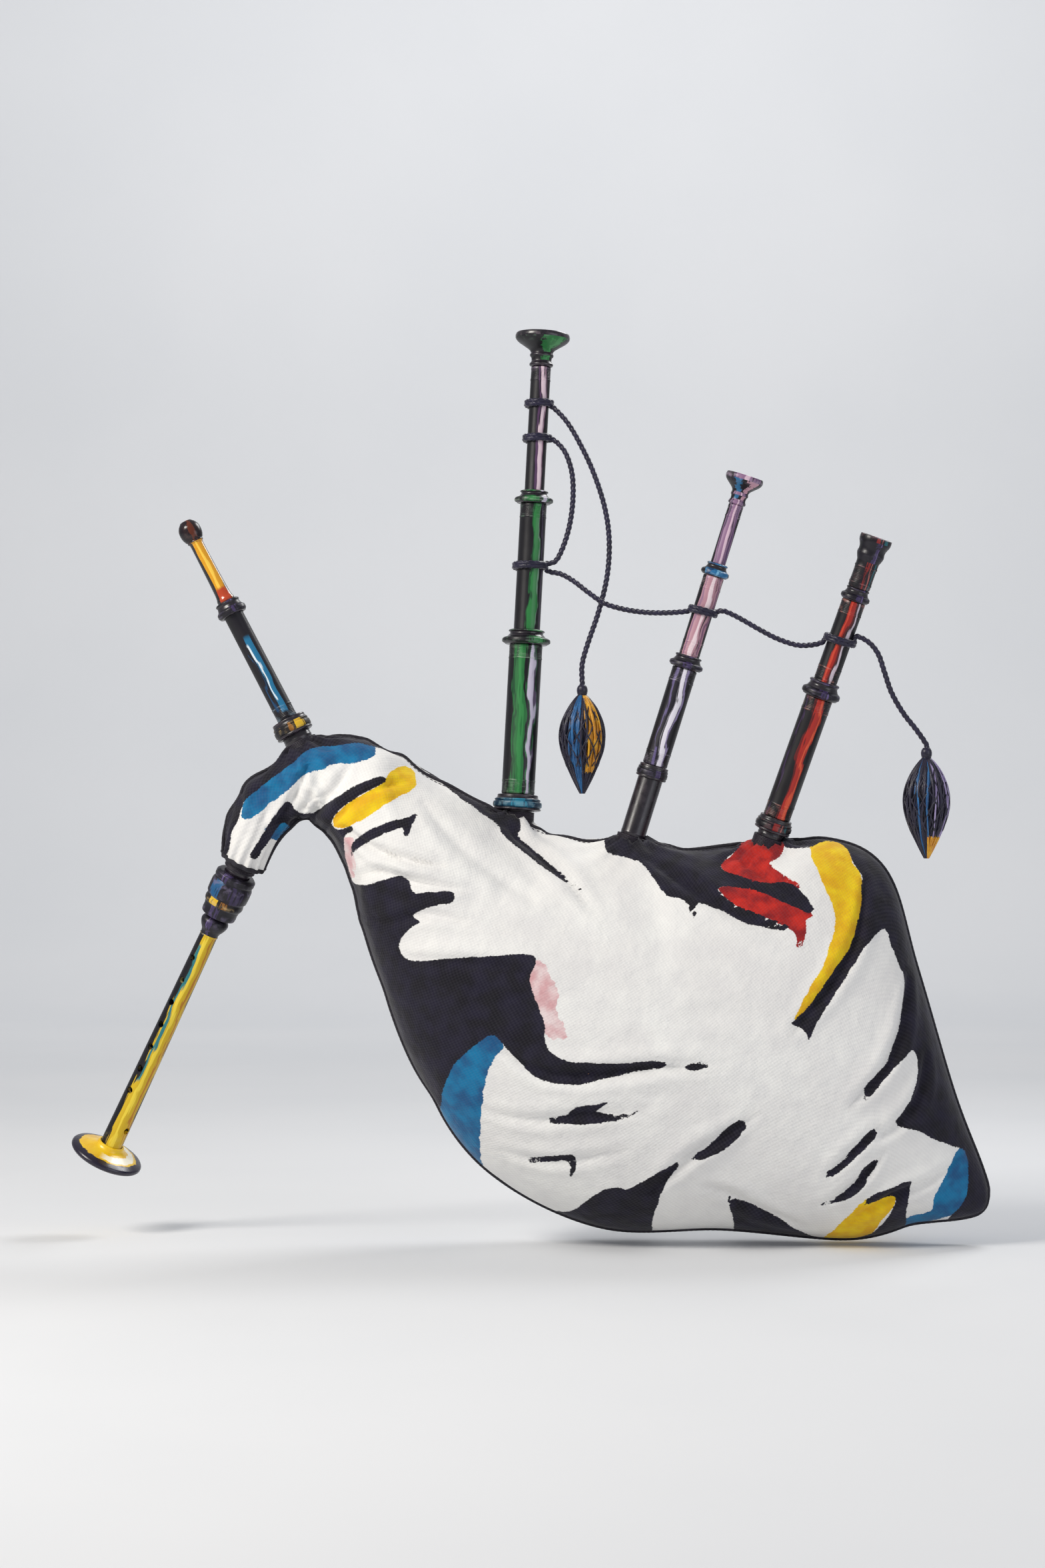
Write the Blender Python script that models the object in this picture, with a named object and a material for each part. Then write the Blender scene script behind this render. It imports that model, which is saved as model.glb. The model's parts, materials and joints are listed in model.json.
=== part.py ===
"""A set of bagpipes in playing position: a swan-necked bag, three drones, a blowpipe and a chanter.

Metres, +Z up. The instrument lies along the XZ plane, its front towards -Y and its chanter towards -X.
The origin is the middle of the bag, where the player's arm holds it against the ribs.
Each pipe is modelled along its own line: an empty stands at the pipe's foot with local Z running
outwards from the bag, and the pipe's pieces are placed on it by their height above that foot.
"""

import bmesh
import bpy
from math import cos, pi, radians, sin
from mathutils import Matrix, Vector

# ---------------------------------------------------------------- clearances
TOUCH = 0.0003  # between faces that rest on each other or are glued
SLIDE = 0.0004  # round a tuning pin or tenon that slides, on the radius
TURN = 0.0005  # round a tenon that turns, on the radius

# ---------------------------------------------------------------- facets
SIDES = 12
SMALL_SIDES = 8
SOLE_SIDES = 20
FLATS = 1 / cos(pi / SIDES)  # a faceted socket is this much wider, so its flats clear what turns in it
BAG_SIDES = 18
BAG_RINGS = 20

# ---------------------------------------------------------------- bag
COVER_WALL = 0.0022
HIDE_WALL = 0.0018
COVER_TO_HIDE = 0.0012
# Each station is a slice across the bag: its upper edge (x, z), its lower edge (x, z), half its thickness and
# how far its middle is to +Y. The neck's open end comes before them: it fits round the chanter's stock.
BAG_STATIONS = [
    ((-0.4720, 0.2180), (-0.4220, 0.1900), 0.0250, -0.0070),
    ((-0.4450, 0.2560), (-0.4020, 0.2100), 0.0300, -0.0060),
    ((-0.3700, 0.2960), (-0.3780, 0.2100), 0.0400, 0.0),
    ((-0.2990, 0.2830), (-0.3540, 0.1580), 0.0540, 0.0),
    ((-0.2240, 0.2350), (-0.3210, 0.0570), 0.0740, 0.0),
    ((-0.1410, 0.1970), (-0.2760, -0.0560), 0.0890, 0.0),
    ((-0.0440, 0.1870), (-0.2060, -0.1540), 0.0980, 0.0),
    ((0.0530, 0.1830), (-0.0880, -0.2170), 0.1000, 0.0),
    ((0.1520, 0.1870), (0.0500, -0.2240), 0.0940, 0.0),
    ((0.2140, 0.1540), (0.1700, -0.2330), 0.0790, 0.0),
    ((0.2450, 0.0530), (0.2420, -0.2180), 0.0590, 0.0),
    ((0.2820, -0.0750), (0.2900, -0.2080), 0.0350, 0.0),
    ((0.3100, -0.1480), (0.3140, -0.1980), 0.0160, 0.0),
]
BAG_TIP = (0.3200, 0.0, -0.1780)

# ---------------------------------------------------------------- stocks and their fittings
COLLAR_WALL = 0.0032  # the waxed whipping that ties the bag round a stock
STOCK_WALL = 0.0050
STOCK_EDGE = 0.0015  # how far a stock's two ends are rounded
COLLAR_EDGE = 0.0008
HOLE_BELOW, HOLE_ABOVE = 0.012, 0.018  # how far the hole in the bag runs past both ends of a whipping

# ---------------------------------------------------------------- bells
NECK_BEAD = 0.0010  # how far the beads on a bell's neck stand out
RIM_EDGE = 0.0012
RIM_WALL = 0.0042  # a bell's wall at its mouth
CAP_WALL = 0.0018  # the sleeve of the outer tenor's cap
CAP_RIM_WALL = 0.0030
JOINT_IN_CAP = 0.008  # the least length of a top joint past its tuning socket

# ---------------------------------------------------------------- drones
# One entry for each drone. Heights are above its foot, the point where it meets the bag's upper edge.
BASS = {
    "name": "bass",
    "foot": (-0.1716, 0.0120),  # across and back
    "lean": 3.1,  # degrees from upright towards +X
    "back": 3.0,  # degrees from upright towards +Y
    "stock_in": 0.080,
    "stock_out": 0.0305,
    "ferrule": (0.017, 0.0105),  # length, how far it stands out from the stock
    "collar": (-0.014, 0.026),  # height of its foot, length
    "bore": 0.0045,
    "tenon": (0.0100, 0.028),  # radius, length
    "bottom": (0.0175, 0.158),  # radius, length
    "pin": (0.0095, 0.056),
    "mount": (0.0115, 0.016),  # how far it stands out from the pipe, length
    "middle": (0.0140, 0.150),
    "top_pin": (0.0070, 0.050),
    "top_mount": (0.0100, 0.014),
    "top": (0.0105, 0.146),
    "bell": (0.0290, 0.036, 0.0160),  # rim radius, length, depth of its cup
    "wrap": 0.084,  # height of each wrap above the joint that it is on
    "loop_wrap": 0.070,
    "top_wrap": 0.107,
}
MIDDLE_TENOR = {
    "name": "middle_tenor",
    "foot": (-0.0517, -0.0035),
    "lean": 17.3,
    "back": -3.0,
    "stock_in": 0.045,
    "stock_out": 0.0855,
    "ferrule": (0.014, 0.0034),
    "collar": (-0.020, 0.028),
    "bore": 0.0022,
    "tenon": (0.0078, 0.024),
    "bottom": (0.0132, 0.106),
    "collar_mount": (0.0070, 0.014),
    "waist": (0.0110, 0.101),
    "pin": (0.0052, 0.048),
    "mount": (0.0070, 0.014),
    "top": (0.0080, 0.078),
    "bell": (0.0200, 0.032, 0.0120),
    "wrap": 0.063,
}
OUTER_TENOR = {
    "name": "outer_tenor",
    "foot": (0.0912, -0.0115),
    "lean": 19.0,
    "back": -8.0,
    "stock_in": 0.060,
    "stock_out": 0.0310,
    "ferrule": (0.015, 0.0060),
    "collar": (-0.021, 0.030),
    "bore": 0.0025,
    "tenon": (0.0082, 0.024),
    "bottom": (0.0145, 0.133),
    "collar_mount": (0.0080, 0.018),
    "waist": (0.0125, 0.107),
    "pin": (0.0062, 0.044),
    "mount": (0.0060, 0.014),
    "top": (0.0095, 0.036),
    "bell": (0.0170, 0.034, 0.0120),
    "wrap": 0.064,
}

# ---------------------------------------------------------------- blowpipe
BLOW_FOOT = (-0.3960, 0.0000)
BLOW_LEAN = -27.6
BLOW_BACK = 4.0
BLOW_STOCK = (-0.043, 0.078)  # height of its foot, length
BLOW_FERRULE = (0.018, 0.0054)
BLOW_COLLAR = (-0.022, 0.030)
BLOW_BORE = 0.0060
BLOW_TENON = (0.0093, 0.028)  # radius, length
BLOW_TUBE = (0.0110, 0.140)
BLOW_MOUNT = (0.0050, 0.016)
MOUTH_TENON = (0.0070, 0.018)
MOUTH_STEM = (0.0080, 0.072)
MOUTH_BULB = (0.0120, 0.024)
MOUTH_BORE = 0.0040
FLAP = (0.0016, 0.0012)  # how far it laps over the blowpipe's bore, thickness
FLAP_HINGE = 0.0012  # how far its hinge line is outside the bore

# ---------------------------------------------------------------- chanter
CHANTER_FOOT = (-0.4590, 0.0000, 0.1685)
CHANTER_LEAN = -155.0  # it points down and out from the bag
CHANTER_BACK = -16.0  # below the level, this is towards +Y
CHANTER_STOCK = (-0.030, 0.096)
CHANTER_FERRULE = (0.050, 0.0087)
CHANTER_COLLAR = (-0.010, 0.020)
CHANTER_TENON = (0.0080, 0.032)
CHANTER_BULB = (0.0150, 0.022)  # radius, length
CHANTER_TOP_R = 0.0095
CHANTER_END_R = 0.0120
CHANTER_LENGTH = 0.272  # from the bulb to the sole
CHANTER_BORE = 0.0068  # at the sole; at the reed it fits the staple
CHANTER_SOLE = (0.0400, 0.018)  # radius, thickness
SOLE_WALL = 0.0022
SOLE_OVER = 0.55  # the share of the sole's thickness that the chanter's end goes into
SOLE_RELIEF = 0.0012  # how much wider than the bore the hole in the sole's face is
HOLE_R = 0.0030
HOLE_COUNT = 7
FIRST_HOLE = 0.030  # from the bulb's lower end to the first finger hole
HOLE_STEP = 0.0275
HOLE_TURN = -50.0  # degrees that the finger holes are turned from the front, towards -Y
SOUND_HOLE = 0.240
STAPLE = (0.0024, 0.0007, 0.024)  # radius, wall, length
STAPLE_IN = 0.010
BLADE_LENGTH = 0.024
BLADE_GRIP = 0.008  # how far the blades run along the staple
BLADE_WIDTHS = (0.0065, 0.0125)
BLADE_THICK = 0.0008
BLADE_TIP_GAP = 0.0004

# ---------------------------------------------------------------- drone reeds
REED_R = 0.0040
REED_BORE = 0.0015
REED_SEAT = 0.010
REED_LENGTH = 0.060
REED_FLAT = (0.034, 0.0011)  # length and depth of the flat that the tongue is cut in
REED_TIP = 0.004  # from the reed's closed end to the flat
BRIDLE = (0.0012, 0.0040)  # wall, length
BRIDLE_BELOW = 0.012  # from the reed's seat down to its bridle
BRIDLE_EDGE = 0.0004

# ---------------------------------------------------------------- cords and tassels
CORD_R = 0.0030
CORD_SIDES_RESOLUTION = 2
CORD_STEP = 0.0150  # distance between the points of a cord's line
WRAP_TURNS = 2
WRAP_GROOVE, WRAP_CREST = 0.6, 1.7  # how far a wrap stands out, in cord radii
TASSEL_LENGTH = 0.116
TASSEL_R = 0.0235
TASSEL_NECK_R = 0.0060

# The routes' points, chosen by hand. The first is where the cord leaves its wrap.
ROUTES = {
    "tassel_cord_bass": [
        (-0.1313, 0.0294, 0.6478), (-0.1180, 0.0240, 0.6330), (-0.1050, 0.0205, 0.6110),
        (-0.0905, 0.0180, 0.5800), (-0.0785, 0.0165, 0.5430), (-0.0735, 0.0155, 0.5080),
        (-0.0755, 0.0150, 0.4700), (-0.0845, 0.0150, 0.4320), (-0.0960, 0.0150, 0.3980),
        (-0.1020, 0.0150, 0.3760), (-0.1020, 0.0150, 0.3570),
    ],
    "cord_loop": [
        (-0.1310, 0.0280, 0.6135), (-0.1200, 0.0240, 0.6010), (-0.1130, 0.0215, 0.5800),
        (-0.1115, 0.0205, 0.5560), (-0.1140, 0.0200, 0.5300), (-0.1200, 0.0200, 0.5060),
        (-0.1295, 0.0215, 0.4860),
    ],
    "cord_bass_to_middle": [
        (-0.1355, 0.0240, 0.4740), (-0.1240, 0.0215, 0.4715), (-0.1110, 0.0165, 0.4640),
        (-0.0960, 0.0095, 0.4520), (-0.0790, 0.0045, 0.4400), (-0.0590, -0.0005, 0.4335),
        (-0.0380, -0.0060, 0.4300), (-0.0170, -0.0120, 0.4290), (0.0040, -0.0165, 0.4300),
    ],
    "cord_middle_to_outer": [
        (0.0445, -0.0235, 0.4305), (0.0540, -0.0250, 0.4270), (0.0660, -0.0275, 0.4205),
        (0.0830, -0.0310, 0.4105), (0.1010, -0.0345, 0.4010), (0.1200, -0.0380, 0.3945),
        (0.1340, -0.0405, 0.3940), (0.1460, -0.0420, 0.3965),
    ],
    "tassel_cord_outer": [
        (0.1825, -0.0480, 0.4030), (0.1950, -0.0505, 0.3965), (0.2045, -0.0525, 0.3840),
        (0.2105, -0.0540, 0.3660), (0.2180, -0.0550, 0.3440), (0.2300, -0.0555, 0.3230),
        (0.2440, -0.0560, 0.3050), (0.2540, -0.0560, 0.2900),
    ],
}

# ---------------------------------------------------------------- colours: RGB, roughness, metallic
FINISHES = {
    "bag_cloth": ((0.86, 0.86, 0.84), 0.85, 0.0),
    "hide": ((0.55, 0.42, 0.28), 0.75, 0.0),
    "blackwood": ((0.018, 0.015, 0.022), 0.28, 0.0),
    "green_lacquer": ((0.030, 0.170, 0.055), 0.25, 0.0),
    "violet_lacquer": ((0.30, 0.20, 0.36), 0.25, 0.0),
    "red_lacquer": ((0.42, 0.025, 0.020), 0.25, 0.0),
    "blue_lacquer": ((0.025, 0.17, 0.36), 0.25, 0.0),
    "yellow_lacquer": ((0.78, 0.55, 0.03), 0.30, 0.0),
    "amber": ((0.75, 0.33, 0.03), 0.22, 0.0),
    "brass": ((0.75, 0.55, 0.22), 0.25, 1.0),
    "waxed_thread": ((0.04, 0.035, 0.05), 0.70, 0.0),
    "cane": ((0.72, 0.58, 0.30), 0.55, 0.0),
    "rubber": ((0.03, 0.03, 0.03), 0.80, 0.0),
    "silk": ((0.030, 0.022, 0.060), 0.45, 0.0),
}


# ---------------------------------------------------------------- tools
def finish(name):
    """The material of that name, made once."""
    found = bpy.data.materials.get(name)
    if found:
        return found
    colour, roughness, metallic = FINISHES[name]
    made = bpy.data.materials.new(name)
    made.use_nodes = True
    shader = made.node_tree.nodes["Principled BSDF"]
    shader.inputs["Base Color"].default_value = (*colour, 1.0)
    shader.inputs["Roughness"].default_value = roughness
    shader.inputs["Metallic"].default_value = metallic
    made.diffuse_color = (*colour, 1.0)
    return made


def add(name, data, parent=None, height=0.0):
    """An object in the scene, standing at a height on its pipe's line."""
    obj = bpy.data.objects.new(name, data)
    bpy.context.scene.collection.objects.link(obj)
    obj.parent = parent
    obj.location = (0.0, 0.0, height)
    return obj


def pipe_turn(lean, back):
    """The rotation that tips an upright pipe by lean towards +X and then by back towards +Y."""
    return Matrix.Rotation(radians(-back), 3, "X") @ Matrix.Rotation(radians(lean), 3, "Y")


def pipe_line(name, foot, lean, back):
    """An empty at a pipe's foot, its local Z along the pipe."""
    empty = add(name, None)
    empty.matrix_world = Matrix.Translation(foot) @ pipe_turn(lean, back).to_4x4()
    empty.empty_display_size = 0.02
    return empty


def mesh_from(bm, name):
    """A smooth-shaded mesh with sharp edges, its faces turned outwards."""
    bmesh.ops.recalc_face_normals(bm, faces=bm.faces)
    mesh = bpy.data.meshes.new(name)
    bm.to_mesh(mesh)
    bm.free()
    mesh.shade_smooth()
    mesh.set_sharp_from_angle(angle=radians(35))
    return mesh


def spun(name, outline, sides, closed):
    """The mesh of an outline of (radius, height) points turned round the local Z."""
    bm = bmesh.new()
    points = [bm.verts.new((radius, 0.0, height)) for radius, height in outline]
    last = len(points) if closed else len(points) - 1
    edges = [bm.edges.new((points[i], points[(i + 1) % len(points)])) for i in range(last)]
    bmesh.ops.spin(bm, geom=points + edges, cent=(0, 0, 0), axis=(0, 0, 1), angle=2 * pi, steps=sides, use_merge=True)
    bmesh.ops.remove_doubles(bm, verts=bm.verts, dist=1e-6)
    return mesh_from(bm, name)


def tube(name, line, height, outside, inside, material, sides=SIDES):
    """A turned piece with a bore: its outside from foot to head, then its bore from foot to head."""
    obj = add(name, spun(name, outside + inside[::-1], sides, True), line, height)
    obj.data.materials.append(finish(material))
    return obj


def solid(name, line, height, outline, material, sides=SIDES):
    """A turned piece with no bore: the outline starts and ends on the axis."""
    obj = add(name, spun(name, outline, sides, False), line, height)
    obj.data.materials.append(finish(material))
    return obj


def cut(obj, cutter):
    """Takes the cutter's shape out of the object. The cutter stays in the scene as a guide."""
    cutter.hide_render = True
    cutter.display_type = "WIRE"
    boolean = obj.modifiers.new("cut_" + cutter.name, "BOOLEAN")
    boolean.operation = "DIFFERENCE"
    boolean.solver = "EXACT"
    boolean.object = cutter


def rounded(radius, length, edge):
    """The outside of a plain ring with both edges eased."""
    return [(radius - edge, 0.0), (radius, edge), (radius, length - edge), (radius - edge, length)]


def projecting_mount(pipe, projection, length):
    """The outside of a turned mount: a wide bead at its foot that sweeps in to the pipe."""
    return [
        (pipe + 0.78 * projection, 0.0),
        (pipe + projection, 0.12 * length),
        (pipe + projection, 0.36 * length),
        (pipe + 0.82 * projection, 0.48 * length),
        (pipe + 0.44 * projection, 0.62 * length),
        (pipe + 0.32 * projection, length),
    ]


# ---------------------------------------------------------------- bag
def smooth_through(points, steps):
    """Points along a Catmull-Rom curve through the given rows of numbers, steps to each gap."""
    ends = [points[0]] + points + [points[-1]]
    found = []
    for i in range(len(points) - 1):
        a, b, c, d = ends[i : i + 4]
        for k in range(steps):
            t = k / steps
            found.append([
                0.5 * (2 * q + (r - p) * t + (2 * p - 5 * q + 4 * r - s) * t**2 + (3 * q - p - 3 * r + s) * t**3)
                for p, q, r, s in zip(a, b, c, d)
            ])
    return found + [list(points[-1])]


def neck_end():
    """The neck's open end stands square to the chanter, and its hide fits round the chanter stock's whipping."""
    radius = whipping_radius(chanter_stock_radius()) + TOUCH + HIDE_WALL + COVER_TO_HIDE + COVER_WALL
    turn = pipe_turn(CHANTER_LEAN, CHANTER_BACK)
    return Vector(CHANTER_FOOT), turn.col[0] * radius, turn.col[1] * radius


def bag_rows():
    """The bag's slices close together: a middle, a reach to the upper edge and a reach to the +Y side."""
    rows = [neck_end()]
    for upper, lower, half, aside in BAG_STATIONS:
        high, low = Vector((upper[0], aside, upper[1])), Vector((lower[0], aside, lower[1]))
        rows.append(((high + low) / 2, (high - low) / 2, Vector((0, half, 0))))
    fine = smooth_through([[*middle, *up, *side] for middle, up, side in rows], 8)
    return [(Vector(row[:3]), Vector(row[3:6]), Vector(row[6:])) for row in fine]


def on_bag(foot):
    """The foot of a pipe that stands on the bag's upper edge."""
    across, back = foot
    edge = [middle + up for middle, up, _ in bag_rows()]
    for near, far in zip(edge, edge[1:]):
        if near.x <= across <= far.x:
            return (across, back, near.z + (far.z - near.z) * (across - near.x) / (far.x - near.x))
    raise ValueError(f"no bag at {across}")


def bag_mesh(name):
    """The bag's outer skin, open at the neck."""
    bm = bmesh.new()
    fine = bag_rows()
    rings = []
    for i in range(BAG_RINGS):
        middle, up, side = fine[round(i * (len(fine) - 1) / (BAG_RINGS - 1))]
        rings.append([
            bm.verts.new(middle + up * cos(2 * pi * k / BAG_SIDES) + side * sin(2 * pi * k / BAG_SIDES))
            for k in range(BAG_SIDES)
        ])
    for near, far in zip(rings, rings[1:]):
        for k in range(BAG_SIDES):
            following = (k + 1) % BAG_SIDES
            bm.faces.new((near[k], near[following], far[following], far[k]))
    tip = bm.verts.new(BAG_TIP)
    for k in range(BAG_SIDES):
        bm.faces.new((rings[-1][k], rings[-1][(k + 1) % BAG_SIDES], tip))
    bmesh.ops.recalc_face_normals(bm, faces=bm.faces)
    # An open skin can come out facing inwards, so the tip's faces settle it: they face along +X.
    tip_face = tip.link_faces[0]
    if tip_face.normal.x < 0:
        bmesh.ops.reverse_faces(bm, faces=bm.faces)
    mesh = bpy.data.meshes.new(name)
    bm.to_mesh(mesh)
    bm.free()
    mesh.shade_smooth()
    return mesh


def bag_shell(name, inset, wall, material, cutters):
    """A shell of the bag, set in from the outer skin, with a hole for each stock."""
    obj = add(name, bag_mesh(name))
    obj.data.materials.append(finish(material))
    if inset:
        shrink = obj.modifiers.new("inset", "DISPLACE")
        shrink.strength = -inset
        shrink.mid_level = 0.0
    thicken = obj.modifiers.new("wall", "SOLIDIFY")
    thicken.thickness = wall
    thicken.offset = -1.0
    for cutter in cutters:
        cut(obj, cutter)
    return obj


# ---------------------------------------------------------------- stocks
def turning_stock_radius(tenon_radius):
    """The stock of a pipe that can be turned by hand."""
    return (tenon_radius + TURN) * FLATS + STOCK_WALL


def chanter_stock_radius():
    """The chanter's stock, which the bag's neck is made to fit."""
    return turning_stock_radius(CHANTER_TENON[0])


def whipping_radius(radius):
    """The outside of the whipping round a stock of that radius."""
    return radius + TOUCH + COLLAR_WALL


def stock(name, line, foot, length, radius, ferrule, collar, material, ring_material):
    """A stock, its ferrule and the whipping that ties the bag to it. Returns the cutter for its hole in the bag."""
    bore = radius - STOCK_WALL
    tube(name + "_stock", line, foot, rounded(radius, length, STOCK_EDGE), [(bore, 0.0), (bore, length)], material)
    ring_length, projection = ferrule
    inner = radius + TOUCH
    tube(
        name + "_stock_ferrule", line, foot + length - ring_length - TOUCH,
        [
            (radius + 0.75 * projection, 0.0),
            (radius + projection, ring_length * 0.22),
            (radius + projection, ring_length * 0.52),
            (radius + 0.80 * projection, ring_length * 0.62),
            (inner + 0.60 * (projection - TOUCH), ring_length),
        ],
        [(inner, 0.0), (inner, ring_length)],
        ring_material,
    )
    collar_foot, collar_length = collar
    outer = whipping_radius(radius)
    tube(
        name + "_stock_whipping", line, collar_foot,
        rounded(outer, collar_length, COLLAR_EDGE), [(inner, 0.0), (inner, collar_length)], "waxed_thread",
    )
    reach = collar_length + HOLE_BELOW + HOLE_ABOVE
    hole = [(0.0, 0.0), (outer + TOUCH, 0.0), (outer + TOUCH, reach), (0.0, reach)]
    return add(name + "_hole", spun(name + "_hole", hole, SIDES, False), line, collar_foot - HOLE_BELOW)


# ---------------------------------------------------------------- drones
def drone_reed(name, line, head):
    """A drone reed: a closed tube with a flat for its tongue, and the bridle that sets the tongue's length."""
    length, depth = REED_FLAT
    body = tube(
        name + "_reed", line, head - REED_LENGTH,
        [(REED_BORE, 0.0), (REED_R, 0.0), (REED_R, REED_LENGTH)],
        [(REED_BORE, 0.0), (REED_BORE, REED_LENGTH)],
        "cane", SMALL_SIDES,
    )
    bm = bmesh.new()
    bmesh.ops.create_cube(bm, size=1.0)
    bmesh.ops.scale(bm, vec=(2 * REED_R, 4 * REED_R, length), verts=bm.verts)
    flat = add(name + "_flat", mesh_from(bm, name + "_flat"), line, head - REED_LENGTH + REED_TIP + length / 2)
    flat.location.x = 2 * REED_R - depth
    cut(body, flat)
    wall, bridle_length = BRIDLE
    inner = REED_R + TOUCH
    tube(
        name + "_reed_bridle", line, head - REED_SEAT - BRIDLE_BELOW,
        rounded(inner + wall, bridle_length, BRIDLE_EDGE), [(inner, 0.0), (inner, bridle_length)],
        "rubber", SMALL_SIDES,
    )


def bell(name, line, foot, radius, length, depth, neck, bore, material):
    """A drone's bell: a cup on a narrow neck, its bore opening into the cup."""
    return tube(
        name, line, foot,
        [
            (neck, 0.0), (neck + NECK_BEAD, length * 0.10), (neck, length * 0.26), (neck + NECK_BEAD, length * 0.42),
            (radius * 0.78, length * 0.66), (radius, length * 0.84), (radius, length * 0.94),
            (radius - RIM_EDGE, length),
        ],
        [(bore, 0.0), (bore, length - depth), (radius * 0.66, length - depth * 0.35), (radius - RIM_WALL, length)],
        material,
    )


def wrap(name, line, height, radius):
    """A cord's turns round a pipe, drawn as one ring with a groove between its turns."""
    inner = radius + TOUCH
    groove = inner + WRAP_GROOVE * CORD_R
    crest = inner + WRAP_CREST * CORD_R
    pitch = 2 * CORD_R
    outside = []
    for turn in range(WRAP_TURNS):
        foot = turn * pitch
        outside += [(groove, foot), (crest, foot + 0.30 * pitch), (crest, foot + 0.70 * pitch)]
    length = WRAP_TURNS * pitch
    outside.append((groove, length))
    return tube(name, line, height - length / 2, outside, [(inner, 0.0), (inner, length)], "silk")


def pipe_foot(drone):
    """Where a drone's bottom joint sits on its stock."""
    return drone["stock_out"] + TOUCH


def stock_radius(drone):
    """The stock takes the drone's tenon in its bore."""
    return drone["tenon"][0] + SLIDE + STOCK_WALL


def drone_stock(drone, line, material, ring_material):
    """A drone's stock. Returns the cutter for its hole in the bag."""
    return stock(
        drone["name"], line, -drone["stock_in"], drone["stock_in"] + drone["stock_out"], stock_radius(drone),
        drone["ferrule"], drone["collar"], material, ring_material,
    )


def ring_on(name, line, foot, mount, pipe, material):
    """A mount that is pushed over a pipe."""
    projection, length = mount
    inner = pipe + TOUCH
    return tube(
        name, line, foot, projecting_mount(pipe, projection, length), [(inner, 0.0), (inner, length)], material
    )


def bass_drone(line):
    """The bass drone: three joints, so two of them slide for tuning."""
    drone = BASS
    foot = pipe_foot(drone)
    bore = drone["bore"]
    seat = REED_R + TOUCH
    tenon_radius, tenon_length = drone["tenon"]
    bottom_radius, bottom_length = drone["bottom"]
    pin_radius, pin_length = drone["pin"]
    tube(
        "bass_bottom_joint", line, foot,
        [(tenon_radius, -tenon_length), (tenon_radius, TOUCH), (bottom_radius, TOUCH), (bottom_radius, bottom_length),
         (pin_radius, bottom_length), (pin_radius, bottom_length + pin_length)],
        [(seat, -tenon_length), (seat, REED_SEAT - tenon_length), (bore, REED_SEAT - tenon_length),
         (bore, bottom_length + pin_length)],
        "green_lacquer",
    )
    drone_reed("bass", line, foot - tenon_length + REED_SEAT - TOUCH)

    middle_foot = foot + bottom_length + TOUCH
    middle_radius, middle_length = drone["middle"]
    top_pin_radius, top_pin_length = drone["top_pin"]
    socket = pin_radius + SLIDE
    tube(
        "bass_middle_joint", line, middle_foot,
        [(middle_radius, 0.0), (middle_radius, middle_length), (top_pin_radius, middle_length),
         (top_pin_radius, middle_length + top_pin_length)],
        [(socket, 0.0), (socket, pin_length + SLIDE), (bore, pin_length + SLIDE),
         (bore, middle_length + top_pin_length)],
        "green_lacquer",
    )
    ring_on("bass_middle_mount", line, middle_foot, drone["mount"], middle_radius, "blackwood")

    top_foot = middle_foot + middle_length + TOUCH
    top_radius, top_length = drone["top"]
    top_socket = top_pin_radius + SLIDE
    rim, bell_length, cup = drone["bell"]
    tube(
        "bass_top_joint", line, top_foot,
        [(top_radius, 0.0), (top_radius, top_length)],
        [(top_socket, 0.0), (top_socket, top_pin_length + SLIDE), (bore, top_pin_length + SLIDE), (bore, top_length)],
        "violet_lacquer",
    )
    ring_on("bass_top_mount", line, top_foot, drone["top_mount"], top_radius, "green_lacquer")
    bell("bass_bell", line, top_foot + top_length + TOUCH, rim, bell_length, cup, top_radius, bore, "blackwood")
    wrap("bass_middle_wrap", line, middle_foot + drone["wrap"], middle_radius)
    wrap("bass_loop_wrap", line, top_foot + drone["loop_wrap"], top_radius)
    wrap("bass_top_wrap", line, top_foot + drone["top_wrap"], top_radius)


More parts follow.
